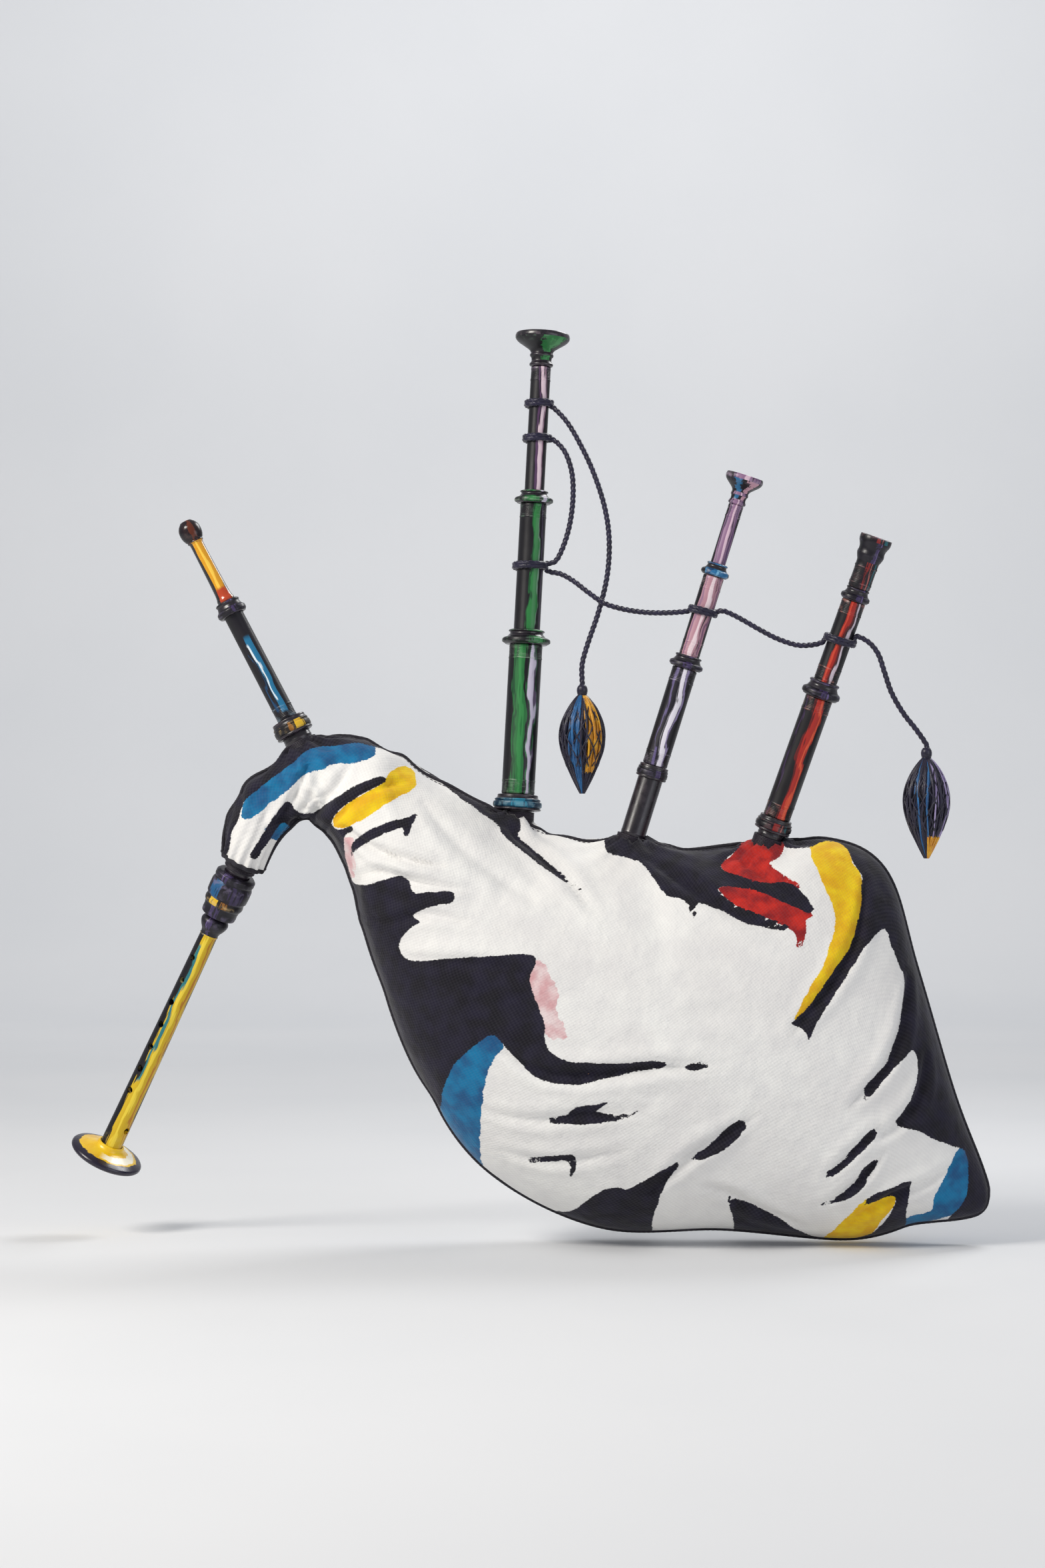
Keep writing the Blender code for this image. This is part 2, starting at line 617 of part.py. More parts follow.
def tenor_drone(drone, line, colours):
    """A tenor drone: two joints, so one slides for tuning."""
    body_colour, low_mount_colour, mount_colour, top_colour, bell_colour = colours
    name = drone["name"]
    foot = pipe_foot(drone)
    bore = drone["bore"]
    seat = REED_R + TOUCH
    tenon_radius, tenon_length = drone["tenon"]
    bottom_radius, bottom_length = drone["bottom"]
    waist_radius, waist_length = drone["waist"]
    pin_radius, pin_length = drone["pin"]
    shoulder = bottom_length + waist_length
    tube(
        name + "_bottom_joint", line, foot,
        [(tenon_radius, -tenon_length), (tenon_radius, TOUCH), (bottom_radius, TOUCH),
         (bottom_radius, bottom_length), (waist_radius, bottom_length), (waist_radius, shoulder),
         (pin_radius, shoulder), (pin_radius, shoulder + pin_length)],
        [(seat, -tenon_length), (seat, REED_SEAT - tenon_length), (bore, REED_SEAT - tenon_length),
         (bore, shoulder + pin_length)],
        body_colour,
    )
    drone_reed(name, line, foot - tenon_length + REED_SEAT - TOUCH)
    ring_on(
        name + "_collar_mount", line, foot + bottom_length + TOUCH, drone["collar_mount"], waist_radius,
        low_mount_colour,
    )
    wrap(name + "_wrap", line, foot + bottom_length + drone["wrap"], waist_radius)
    top_foot = foot + shoulder + TOUCH
    top_radius, top_length = drone["top"]
    mount_length = drone["mount"][1]
    socket = pin_radius + SLIDE
    rim, bell_length, cup = drone["bell"]
    # A short top joint carries on inside the bell, so the bell is bored to fit over it.
    joint_length = max(top_length, pin_length + SLIDE + JOINT_IN_CAP)
    into_bell = joint_length - top_length
    tube(
        name + "_top_joint", line, top_foot,
        [(top_radius, 0.0), (top_radius, joint_length)],
        [(socket, 0.0), (socket, pin_length + SLIDE), (bore, pin_length + SLIDE), (bore, joint_length)],
        top_colour,
    )
    ring_on(name + "_top_mount", line, top_foot, drone["mount"], top_radius, mount_colour)
    bell_foot = top_foot + mount_length + TOUCH if into_bell > 0 else top_foot + top_length + TOUCH
    if into_bell > 0:
        outer_cap(name + "_bell", line, bell_foot, top_foot + top_length + bell_length - bell_foot,
                  rim, cup, top_radius, bell_colour)
    else:
        bell(name + "_bell", line, bell_foot, rim, bell_length, cup, top_radius, bore, bell_colour)


def outer_cap(name, line, foot, length, radius, depth, pipe, material):
    """The outer tenor's plain cap: a sleeve over the whole top joint, flared at its head."""
    inner = pipe + TOUCH
    wall = inner + CAP_WALL
    return tube(
        name, line, foot,
        [(wall, 0.0), (wall, length * 0.46), (radius * 0.84, length * 0.56), (radius * 0.78, length * 0.74),
         (radius, length * 0.90), (radius, length)],
        [(inner, 0.0), (inner, length - depth), (radius * 0.66, length - depth * 0.4), (radius - CAP_RIM_WALL, length)],
        material,
    )


# ---------------------------------------------------------------- blowpipe
def blowpipe(line):
    """The blowpipe, its mount, the mouthpiece and the flap that keeps the air in the bag."""
    tenon_radius, tenon_length = BLOW_TENON
    tube_radius, tube_length = BLOW_TUBE
    mouth_radius, mouth_length = MOUTH_TENON
    foot = BLOW_STOCK[0] + BLOW_STOCK[1] + TOUCH
    socket = mouth_radius + TOUCH
    tube(
        "blowpipe_tube", line, foot,
        [(tenon_radius, -tenon_length), (tenon_radius, TOUCH), (tube_radius, TOUCH), (tube_radius * 0.96, tube_length)],
        [(BLOW_BORE, -tenon_length), (BLOW_BORE, tube_length - mouth_length - TOUCH),
         (socket, tube_length - mouth_length - TOUCH), (socket, tube_length)],
        "blue_lacquer",
    )
    ring_on("blowpipe_mount", line, foot + tube_length - BLOW_MOUNT[1], BLOW_MOUNT, tube_radius, "blackwood")
    stem_radius, stem_length = MOUTH_STEM
    bulb_radius, bulb_length = MOUTH_BULB
    tube(
        "mouthpiece", line, foot + tube_length,
        [
            (mouth_radius, -mouth_length), (mouth_radius, TOUCH), (stem_radius * 1.2, TOUCH),
            (stem_radius, stem_length * 0.08), (stem_radius * 0.9, stem_length),
            (bulb_radius * 0.92, stem_length + bulb_length * 0.25),
            (bulb_radius, stem_length + bulb_length * 0.50),
            (bulb_radius * 0.80, stem_length + bulb_length * 0.82),
            (bulb_radius * 0.45, stem_length + bulb_length),
        ],
        [(MOUTH_BORE, -mouth_length), (MOUTH_BORE, stem_length + bulb_length)],
        "amber",
    )
    lap, thick = FLAP
    radius = BLOW_BORE + lap
    hinge_out = BLOW_BORE + FLAP_HINGE
    flap_head = foot - tenon_length - TOUCH
    hinge = add("valve_hinge", None, line, flap_head - thick / 2)
    hinge.location.x = hinge_out
    flap = solid(
        "valve_flap", hinge, -thick / 2, [(0.0, 0.0), (radius, 0.0), (radius, thick), (0.0, thick)], "rubber",
        SMALL_SIDES,
    )
    flap.location.x = -hinge_out


# ---------------------------------------------------------------- chanter
def finger_holes(line, foot, length):
    """The cutters for the finger holes in front, the thumb hole behind and the two sound holes."""
    bm = bmesh.new()
    reach = 4 * CHANTER_END_R
    turn = Matrix.Rotation(radians(HOLE_TURN), 4, "Z")
    sideways = Matrix.Rotation(pi / 2, 4, "Y")

    def hole(height, towards, radius, depth):
        start = Matrix.Translation((towards * depth / 2, 0, height))
        bmesh.ops.create_cone(
            bm, cap_ends=True, segments=8, radius1=radius, radius2=radius, depth=depth, matrix=turn @ start @ sideways
        )

    for i in range(HOLE_COUNT):
        hole(FIRST_HOLE + i * HOLE_STEP, 1.0, HOLE_R, reach)
    hole(FIRST_HOLE - 0.5 * HOLE_STEP, -1.0, HOLE_R, reach)
    cutter = add("finger_hole_cutter", mesh_from(bm, "finger_hole_cutter"), line, foot)
    across = bmesh.new()
    bmesh.ops.create_cone(
        across, cap_ends=True, segments=8, radius1=HOLE_R, radius2=HOLE_R, depth=reach,
        matrix=Matrix.Translation((0, 0, SOUND_HOLE)) @ turn @ Matrix.Rotation(pi / 2, 4, "X"),
    )
    sound = add("sound_hole_cutter", mesh_from(across, "sound_hole_cutter"), line, foot)
    return cutter, sound


def chanter(line):
    """The chanter with its sole and its double reed."""
    foot = CHANTER_STOCK[0] + CHANTER_STOCK[1] + TOUCH
    tenon_radius, tenon_length = CHANTER_TENON
    bulb_radius, bulb_length = CHANTER_BULB
    staple_radius, staple_wall, staple_length = STAPLE
    reed_bore = (staple_radius + TOUCH) * FLATS
    end_bore = CHANTER_BORE
    total = bulb_length + CHANTER_LENGTH
    body = tube(
        "chanter_body", line, foot,
        [
            (tenon_radius, -tenon_length), (tenon_radius, TOUCH), (bulb_radius * 0.8, TOUCH),
            (bulb_radius, bulb_length * 0.35), (bulb_radius * 0.86, bulb_length * 0.7),
            (CHANTER_TOP_R, bulb_length), (CHANTER_END_R, total),
        ],
        [(reed_bore, -tenon_length), (reed_bore, bulb_length), (end_bore, total)],
        "yellow_lacquer",
    )
    for cutter in finger_holes(line, foot + bulb_length, CHANTER_LENGTH):
        cut(body, cutter)
    sole_radius, sole_thick = CHANTER_SOLE
    over_end = SOLE_OVER * sole_thick
    seat = over_end + TOUCH
    slot = (CHANTER_END_R + TOUCH) * FLATS
    tube(
        "chanter_sole", line, foot + total - over_end,
        [
            (slot + SOLE_WALL, 0.0), (slot + 2 * SOLE_WALL, sole_thick * 0.30),
            (sole_radius * 0.86, sole_thick * 0.52), (sole_radius, sole_thick * 0.70),
            (sole_radius, sole_thick * 0.90), (sole_radius * 0.94, sole_thick),
        ],
        [(slot, 0.0), (slot, seat), (end_bore + SOLE_RELIEF, seat), (end_bore + SOLE_RELIEF, sole_thick)],
        "yellow_lacquer", SOLE_SIDES,
    )
    staple_head = foot - tenon_length + STAPLE_IN
    tube(
        "chanter_reed_staple", line, staple_head - staple_length,
        [(staple_radius, 0.0), (staple_radius, staple_length)],
        [(staple_radius - staple_wall, 0.0), (staple_radius - staple_wall, staple_length)],
        "brass", SMALL_SIDES,
    )
    low, high = BLADE_WIDTHS
    staple_foot = staple_head - staple_length
    tip = staple_foot - BLADE_LENGTH + BLADE_GRIP
    beside = staple_radius + TOUCH
    for side, label in ((1.0, "front"), (-1.0, "back")):
        blade = add(
            "chanter_reed_blade_" + label,
            bent_plate(
                "blade_" + label, side, BLADE_THICK,
                [(high, BLADE_TIP_GAP / 2, 0.0), (low, beside, BLADE_LENGTH - BLADE_GRIP), (low, beside, BLADE_LENGTH)],
            ),
            line, tip,
        )
        blade.data.materials.append(finish("cane"))


def bent_plate(name, side, thick, stations):
    """A thin plate through stations of (width, distance from the axis, height), on one side of the axis."""
    bm = bmesh.new()
    rings = []
    for width, gap, height in stations:
        rings.append([
            bm.verts.new((across * width / 2, side * (gap + out * thick), height))
            for across, out in ((-1, 0), (1, 0), (1, 1), (-1, 1))
        ])
    for near, far in zip(rings, rings[1:]):
        for k in range(4):
            bm.faces.new((near[k], near[(k + 1) % 4], far[(k + 1) % 4], far[k]))
    bm.faces.new(rings[0])
    bm.faces.new(rings[-1])
    return mesh_from(bm, name)


# ---------------------------------------------------------------- cords
def cord(name, route):
    """A cord: a round tube along a smooth curve through the route's points."""
    fine = smooth_through([list(p) for p in route], 12)
    line = [Vector(fine[0])]
    walked = 0.0
    for here, there in zip(fine, fine[1:]):
        walked += (Vector(there) - Vector(here)).length
        if walked >= CORD_STEP:
            line.append(Vector(there))
            walked = 0.0
    if (line[-1] - Vector(fine[-1])).length < 0.4 * CORD_STEP:
        line.pop()
    line.append(Vector(fine[-1]))
    curve = bpy.data.curves.new(name, "CURVE")
    curve.dimensions = "3D"
    curve.bevel_depth = CORD_R
    curve.bevel_resolution = CORD_SIDES_RESOLUTION
    curve.use_fill_caps = True
    spline = curve.splines.new("POLY")
    spline.points.add(len(line) - 1)
    for point, place in zip(spline.points, line):
        point.co = (*place, 1.0)
    obj = add(name, curve)
    obj.data.materials.append(finish("silk"))
    return line[-1]


def tassel(name, top):
    """A tassel that hangs from its cord's end: a bound head over a skirt that swells and closes to a point."""
    hinge = add(name + "_hinge", None)
    hinge.location = top - Vector((0, 0, CORD_R))
    length = TASSEL_LENGTH
    return solid(
        name, hinge, -length,
        [
            (0.0, 0.0), (0.12 * TASSEL_R, 0.0), (0.55 * TASSEL_R, 0.10 * length), (0.92 * TASSEL_R, 0.24 * length),
            (TASSEL_R, 0.38 * length), (0.80 * TASSEL_R, 0.58 * length), (0.45 * TASSEL_R, 0.80 * length),
            (TASSEL_NECK_R, 0.90 * length), (TASSEL_NECK_R * 1.25, 0.95 * length),
            (TASSEL_NECK_R * 0.9, length), (0.0, length),
        ],
        "silk", SMALL_SIDES,
    )


def cords():
    """The silk cords that tie the drones together, their turns round the drones, and the two tassels."""
    ends = {name: cord(name, route) for name, route in ROUTES.items()}
    for name, cord_name in (("tassel_bass", "tassel_cord_bass"), ("tassel_outer", "tassel_cord_outer")):
        tassel(name, ends[cord_name])


# ---------------------------------------------------------------- the whole instrument
def build():
    """Every piece of the instrument, in a scene that is emptied first."""
    for obj in list(bpy.data.objects):
        bpy.data.objects.remove(obj, do_unlink=True)

    bass_line, middle_line, outer_line = (
        pipe_line(drone["name"] + "_line", on_bag(drone["foot"]), drone["lean"], drone["back"])
        for drone in (BASS, MIDDLE_TENOR, OUTER_TENOR)
    )
    blow_line = pipe_line("blowpipe_line", on_bag(BLOW_FOOT), BLOW_LEAN, BLOW_BACK)
    chanter_line = pipe_line("chanter_line", CHANTER_FOOT, CHANTER_LEAN, CHANTER_BACK)

    holes = [
        drone_stock(BASS, bass_line, "blackwood", "blue_lacquer"),
        drone_stock(MIDDLE_TENOR, middle_line, "blackwood", "blackwood"),
        drone_stock(OUTER_TENOR, outer_line, "blackwood", "red_lacquer"),
        stock(
            "blowpipe", blow_line, *BLOW_STOCK, turning_stock_radius(BLOW_TENON[0]), BLOW_FERRULE, BLOW_COLLAR,
            "blackwood", "yellow_lacquer",
        ),
        stock(
            "chanter", chanter_line, *CHANTER_STOCK, chanter_stock_radius(), CHANTER_FERRULE, CHANTER_COLLAR,
            "blackwood", "blackwood",
        ),
    ]
    bag_shell("bag_cover", 0.0, COVER_WALL, "bag_cloth", holes)
    bag_shell("hide_bag", COVER_WALL + COVER_TO_HIDE, HIDE_WALL, "hide", holes)

    bass_drone(bass_line)
    tenor_drone(
        MIDDLE_TENOR, middle_line,
        ("violet_lacquer", "blackwood", "blue_lacquer", "violet_lacquer", "blue_lacquer"),
    )
    tenor_drone(
        OUTER_TENOR, outer_line,
        ("red_lacquer", "blackwood", "blackwood", "red_lacquer", "blackwood"),
    )
    blowpipe(blow_line)
    chanter(chanter_line)

    cords()


build()
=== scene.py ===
import json
from math import atan2, cos, pi, radians, sin

import bmesh
import bpy
import numpy as np
from bpy.props import FloatProperty, FloatVectorProperty, IntProperty, PointerProperty
from bpy.types import Operator, Panel, PropertyGroup
from mathutils import Matrix, Vector
from mathutils.bvhtree import BVHTree


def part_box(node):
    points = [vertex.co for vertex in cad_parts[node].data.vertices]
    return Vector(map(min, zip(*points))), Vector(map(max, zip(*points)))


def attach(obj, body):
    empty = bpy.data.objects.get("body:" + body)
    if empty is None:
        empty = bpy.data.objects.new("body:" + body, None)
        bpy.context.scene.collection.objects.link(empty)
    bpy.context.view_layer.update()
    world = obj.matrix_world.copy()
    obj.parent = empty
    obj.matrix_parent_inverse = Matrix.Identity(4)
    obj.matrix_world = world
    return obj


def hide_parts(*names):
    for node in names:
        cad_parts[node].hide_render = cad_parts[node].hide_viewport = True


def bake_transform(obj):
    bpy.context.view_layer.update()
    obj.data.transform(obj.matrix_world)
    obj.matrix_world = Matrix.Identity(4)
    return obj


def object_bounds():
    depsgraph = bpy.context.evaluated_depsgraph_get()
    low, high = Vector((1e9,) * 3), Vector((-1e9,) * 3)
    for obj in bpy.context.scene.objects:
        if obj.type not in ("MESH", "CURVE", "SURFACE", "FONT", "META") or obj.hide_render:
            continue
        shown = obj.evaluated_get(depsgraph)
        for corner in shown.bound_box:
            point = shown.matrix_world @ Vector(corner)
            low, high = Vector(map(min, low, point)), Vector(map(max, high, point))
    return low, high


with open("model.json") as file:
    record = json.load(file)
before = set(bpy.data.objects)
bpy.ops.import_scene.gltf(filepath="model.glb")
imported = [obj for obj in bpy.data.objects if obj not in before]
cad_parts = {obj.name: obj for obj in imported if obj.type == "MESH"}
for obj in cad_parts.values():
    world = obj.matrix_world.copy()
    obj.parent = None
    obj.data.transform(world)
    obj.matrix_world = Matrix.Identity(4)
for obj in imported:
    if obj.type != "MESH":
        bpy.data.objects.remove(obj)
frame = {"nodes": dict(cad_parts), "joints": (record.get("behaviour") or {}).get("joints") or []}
CAD_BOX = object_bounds()

bl_info = {
    "name": "Painted Bagpipes",
    "version": (1, 0, 0),
    "blender": (4, 5, 0),
    "location": "3D View > Sidebar > Bagpipes",
    "description": "Bagpipes with an ink-stained cloth bag, painted lacquered pipes, silk cords and tassels",
    "category": "Object",
}

MM = 0.001
ROUND = 72  # segments round a turned pipe
MIX_A, MIX_B = 6, 7  # the two colour sockets of a Mix node
FRONT = Vector((0.0, -1.0, 0.0))

# ---- measuring the frame
LINE_JOINTS = {
    "bass": "bass_lower_tuning",
    "middle_tenor": "middle_tenor_tuning",
    "outer_tenor": "outer_tenor_tuning",
    "blowpipe": "blowpipe_turn",
    "chanter": "chanter_turn",
}


def points_of(node):
    """A node's points, one row each, in metres."""
    mesh = frame["nodes"][node].data
    found = np.empty(len(mesh.vertices) * 3)
    mesh.vertices.foreach_get("co", found)
    return found.reshape(-1, 3)


def pipe_line(pipe):
    """A pipe's line as a matrix.

    Its foot is the stock's. Its local Z points outwards from the bag, and its local Y towards the world's +Y.
    """
    joint = next(j for j in frame["joints"] if j["name"] == LINE_JOINTS[pipe])
    out = Vector(joint["axis"]).normalized()
    across = Vector((0, 1, 0)).cross(out).normalized()
    axes = (across, out.cross(across), out)
    stock = points_of(pipe + "_stock")
    foot = Vector()
    for axis, share in zip(axes, (0.5, 0.5, 0.0)):
        along = stock @ np.array(axis)
        foot += axis * (along.min() + share * (along.max() - along.min()))
    matrix = Matrix([[axis[row] for axis in axes] + [foot[row]] for row in range(3)] + [[0, 0, 0, 1]])
    return matrix


LINES = {pipe: pipe_line(pipe) for pipe in LINE_JOINTS}


def on_line(points, line):
    """World points in a line's own coordinates."""
    inverse = np.array(line.inverted())
    return points @ inverse[:3, :3].T + inverse[:3, 3]


def line_of(node):
    """The line that a turned node is on. The mouthpiece and the valve's flap are on the blowpipe's."""
    return LINES[next((pipe for pipe in LINES if node.startswith(pipe)), "blowpipe")]


def measured(node):
    """A turned node's (lowest height, highest height, least radius, greatest radius) on its line."""
    local = on_line(points_of(node), line_of(node))
    radii = np.hypot(local[:, 0], local[:, 1])
    return local[:, 2].min(), local[:, 2].max(), radii.min(), radii.max()


def radius_near(node, height):
    """The greatest radius of a turned node within 1 mm of a height."""
    local = on_line(points_of(node), line_of(node))
    near = np.abs(local[:, 2] - height) < 1 * MM
    return np.hypot(local[near, 0], local[near, 1]).max()


# ---- colour and nodes
MATH, RANGE, MIX, NOISE = "ShaderNodeMath", "ShaderNodeMapRange", "ShaderNodeMix", "ShaderNodeTexNoise"
VECTOR, SPLIT = "ShaderNodeVectorMath", "ShaderNodeSeparateXYZ"
BUMP, READ = "ShaderNodeBump", "ShaderNodeAttribute"
EASED = {"interpolation_type": "SMOOTHSTEP"}  # for a range with soft ends


def linear(hex_colour):
    """An sRGB hex colour as the linear RGBA that the shader takes."""
    found = []
    for start in (1, 3, 5):
        share = int(hex_colour[start:start + 2], 16) / 255
        found.append(share / 12.92 if share <= 0.04045 else ((share + 0.055) / 1.055) ** 2.4)
    return (*found, 1.0)


def put(tree, kind, sockets=None, **settings):
    """A new node with its settings. Each socket takes a value, or a link from a socket or a node."""
    made = tree.nodes.new(kind)
    for name, value in settings.items():
        setattr(made, name, value)
    for name, value in (sockets or {}).items():
        if isinstance(value, bpy.types.Node):
            value = next(output for output in value.outputs if output.enabled)
        if isinstance(value, bpy.types.NodeSocket):
            tree.links.new(value, made.inputs[name])
        else:
            made.inputs[name].default_value = value
    return made


def new_material(name, **uniform):
    """A material whose shader has the uniform values, its node tree and the piece's own coordinates."""
    made = bpy.data.materials.new(name)
    made.use_nodes = True
    tree = made.node_tree
    shader = tree.nodes["Principled BSDF"]
    for socket, value in uniform.items():
        shader.inputs[socket.replace("_", " ")].default_value = value
    return made, tree, put(tree, "ShaderNodeTexCoord").outputs["Object"]


def uneven(tree, place, millimetres, low, high, detail=3.0, stretch=(1.0, 1.0, 1.0)):
    """A value that drifts between low and high over lumps of that size, longer where stretch is under 1."""
    scaled = put(tree, VECTOR, {0: place, 1: stretch}, operation="MULTIPLY")
    lumps = put(tree, NOISE, {"Vector": scaled, "Scale": 1 / (millimetres * MM), "Detail": detail})
    return put(
        tree, RANGE, {"Value": lumps, "From Min": 0.30, "From Max": 0.70, "To Min": low, "To Max": high},
        **EASED,
    )


def layered(tree, ground, layers):
    """Paint in layers: each (share, colour) is laid over what is under it."""
    for share, colour in layers:
        ground = put(tree, MIX, {"Factor": share, MIX_A: ground, MIX_B: colour}, data_type="RGBA")
    return ground


def surfaced(made, colour, roughness, *bumps):
    """The material with its mixed colour, its uneven roughness and its bumps.

    Each bump is (height, strength, depth in millimetres), the broadest first.
    """
    tree = made.node_tree
    shader = tree.nodes["Principled BSDF"]
    tree.links.new(colour.outputs[2], shader.inputs["Base Color"])
    tree.links.new(roughness.outputs[0], shader.inputs["Roughness"])
    normal = None
    for height, strength, depth in bumps:
        sockets = {"Height": height, "Strength": strength, "Distance": depth * MM}
        if normal:
            sockets["Normal"] = normal
        normal = put(tree, BUMP, sockets)
    if normal:
        tree.links.new(normal.outputs[0], shader.inputs["Normal"])
    return made


def painted(tree, place, ground, strokes):
    """Brush strokes along a turned pipe, the same on its back as on its face; they also paint its shade and
    highlights.

    Each stroke is (colour, degrees round from the middle of the face, degrees that it reaches to either side,
    how dry the brush was, and, if it doesn't run the whole way, its lowest and highest height in
    millimetres). Its edges wander, and a dry brush leaves gaps.
    """
    parts = put(tree, SPLIT, {0: place})
    deep = put(tree, MATH, {0: parts.outputs["Y"]}, operation="ABSOLUTE")
    round_from_face = put(tree, MATH, {0: parts.outputs["X"], 1: deep}, operation="ARCTAN2")
    broad = uneven(tree, place, 26, -1.0, 1.0, 2.0, (1.0, 1.0, 0.55))
    fine = uneven(tree, place, 5, -1.0, 1.0, 3.0, (1.0, 1.0, 0.12))
    bristles = uneven(tree, place, 2.2, 0.0, 1.0, 2.0, (1.0, 1.0, 0.035))
    wander = put(tree, MATH, {0: fine, 1: radians(5), 2: 0.0}, operation="MULTIPLY_ADD")
    wander = put(tree, MATH, {0: broad, 1: radians(11), 2: wander}, operation="MULTIPLY_ADD")
    placed = put(tree, MATH, {0: round_from_face, 1: wander}, operation="ADD")
    height = put(tree, MATH, {0: broad, 1: 5 * MM, 2: parts.outputs["Z"]}, operation="MULTIPLY_ADD")
    layers = []
    for colour, centre, reach, dryness, *limits in strokes:
        away = put(tree, MATH, {0: placed, 1: radians(centre)}, operation="SUBTRACT")
        away = put(tree, MATH, {0: away}, operation="ABSOLUTE")
        gaps = put(tree, MATH, {0: bristles, 1: radians(reach) * dryness, 2: away}, operation="MULTIPLY_ADD")
        share = put(
            tree, RANGE,
            {"Value": gaps, "From Min": radians(reach - 2.0), "From Max": radians(reach + 2.0),
             "To Min": 1.0, "To Max": 0.0},
            **EASED,
        )
        for limit, inside in zip(limits, (1.0, -1.0)):
            start, end = (limit - 2 * inside) * MM, (limit + 2 * inside) * MM
            window = put(tree, RANGE, {"Value": height, "From Min": start, "From Max": end}, **EASED)
            share = put(tree, MATH, {0: share, 1: window}, operation="MULTIPLY")
        layers.append((share, linear(colour)))
    return layered(tree, linear(ground), layers)


def lacquered(name, ground, strokes, rubbed_and_lit, roughness=0.38):
    """Turned wood under brushed paint and lacquer: glossy, with streaks along the grain, painted shade down
    its sides, painted highlights, and paler edges from wear that are also painted highlights.
    """
    made, tree, place = new_material(
        name, IOR=1.50, Coat_Weight=0.12, Coat_Roughness=0.20, Specular_IOR_Level=0.35
    )
    colour = painted(tree, place, ground, strokes)
    # paler convex edges: wear, and a painted edge highlight
    worn_and_lit = put(tree, READ, attribute_name="worn_and_lit")
    scuffed = uneven(tree, place, 7, -0.5, 0.6, 4.0)
    share = put(tree, MATH, {0: worn_and_lit.outputs["Fac"], 1: scuffed}, operation="MULTIPLY")
    colour = layered(tree, colour, [(share, linear(rubbed_and_lit))])
    patches = uneven(tree, place, 30, roughness - 0.05, roughness + 0.08)
    brush_marks = uneven(tree, place, 1.1, 0.0, 1.0, 2.0, (1.0, 1.0, 0.03))
    thickness = uneven(tree, place, 14, 0.0, 1.0, 2.0, (1.0, 1.0, 0.4))
    return surfaced(made, colour, patches, (thickness, 0.12, 0.4), (brush_marks, 0.28, 0.12))


# ---- mesh tools
def piece(name, points, faces, materials, line=None, picks=None, hard=40, body="bag"):
    """A new mesh object on a body, in the world or on a pipe's line. Edges sharper than hard stay sharp."""
    mesh = bpy.data.meshes.new(name)
    mesh.from_pydata([tuple(p) for p in points], [], faces)
    for material in materials:
        mesh.materials.append(material)
    if picks is not None:
        mesh.polygons.foreach_set("material_index", np.array(picks, np.int32))
    mesh.shade_smooth()
    if hard:
        mesh.set_sharp_from_angle(angle=radians(hard))
    mesh.validate()
    obj = bpy.data.objects.new(name, mesh)
    bpy.context.scene.collection.objects.link(obj)
    if line is not None:
        obj.matrix_world = line
    if body:
        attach(obj, body)
    return obj


def eased(outline, by=0.5 * MM):
    """The outline with its hard corners rounded."""
    found = []
    for i, here in enumerate(outline):
        before, after = outline[i - 1], outline[(i + 1) % len(outline)]
        corner = Vector(here[:2])
        into, away = corner - Vector(before[:2]), Vector(after[:2]) - corner
        if into.length < 1e-7:
            continue
        turn = into.angle(away, 0.0)
        if turn < radians(24) or here[0] < 1e-6:
            found.append(here)
            continue
        reach = min(by, 0.45 * into.length, 0.45 * away.length)
        start, end = corner - into.normalized() * reach, corner + away.normalized() * reach
        for t in (0.0, 0.3, 0.7, 1.0):
            spot = start.lerp(corner, t).lerp(corner.lerp(end, t), t)
            found.append((spot.x, spot.y, before[2] if t < 0.5 else here[2]))
    return found


def lathe(outline, around):
    """A closed outline turned round local Z: the points and faces, each with its own entry in the outline."""
    points, of_point, faces, of_face, rings = [], [], [], [], []
    for i, (radius, height, _) in enumerate(outline):
        count = 1 if radius < 1e-6 else around
        rings.append((len(points), count))
        of_point += [i] * count
        points += [(radius * cos(2 * pi * k / around), radius * sin(2 * pi * k / around), height)
                   for k in range(count)]
    for i, (low, count) in enumerate(rings):
        high, next_count = rings[(i + 1) % len(rings)]
        if count == 1 and next_count == 1:
            continue
        for k in range(around):
            nxt = (k + 1) % around
            quad = (low + k % count, low + nxt % count, high + nxt % next_count, high + k % next_count)
            faces.append(tuple(dict.fromkeys(quad)))
            of_face.append(i)
    return points, of_point, faces, of_face


FULLY_WORN_AND_LIT = radians(22)  # the turn at a corner that is bare from wear and carries the full painted edge highlight


def turned(name, outline, line, finishes, body, around=ROUND, ease=0.5 * MM):
    """A closed solid turned round a line from a closed outline of (radius, height, finish's number).

    The outline runs up the outside and down the bore. The convex corners are marked for wear and for a
    painted edge highlight.
    """
    zone = 0
    marked = []
    for entry in outline:
        zone = entry[2] if len(entry) > 2 else zone
        marked.append((entry[0], entry[1], zone))
    marked = eased(marked, ease)
    points, of_point, faces, of_face = lathe(marked, around)
    worn_and_lit = []
    for i, (radius, height, _) in enumerate(marked):
        before, after = marked[i - 1], marked[(i + 1) % len(marked)]
        into = Vector((radius - before[0], height - before[1]))
        away = Vector((after[0] - radius, after[1] - height))
        bend = atan2(into.x * away.y - into.y * away.x, into.dot(away))
        worn_and_lit.append(min(1.0, max(0.0, bend / FULLY_WORN_AND_LIT)))
    picks = [marked[i][2] for i in of_face]
    made = piece(name, points, faces, [finish(one) for one in finishes], line, picks, body=body)
    values = made.data.attributes.new("worn_and_lit", "FLOAT", "POINT")
    values.data.foreach_set("value", np.array([worn_and_lit[i] for i in of_point], np.float32))
    return made


def bead(radius, foot, width, proud, steps=6):
    """A half-round ring's points, going up."""
    return [(radius + proud * sin(pi * i / steps), foot + width * i / steps) for i in range(steps + 1)]


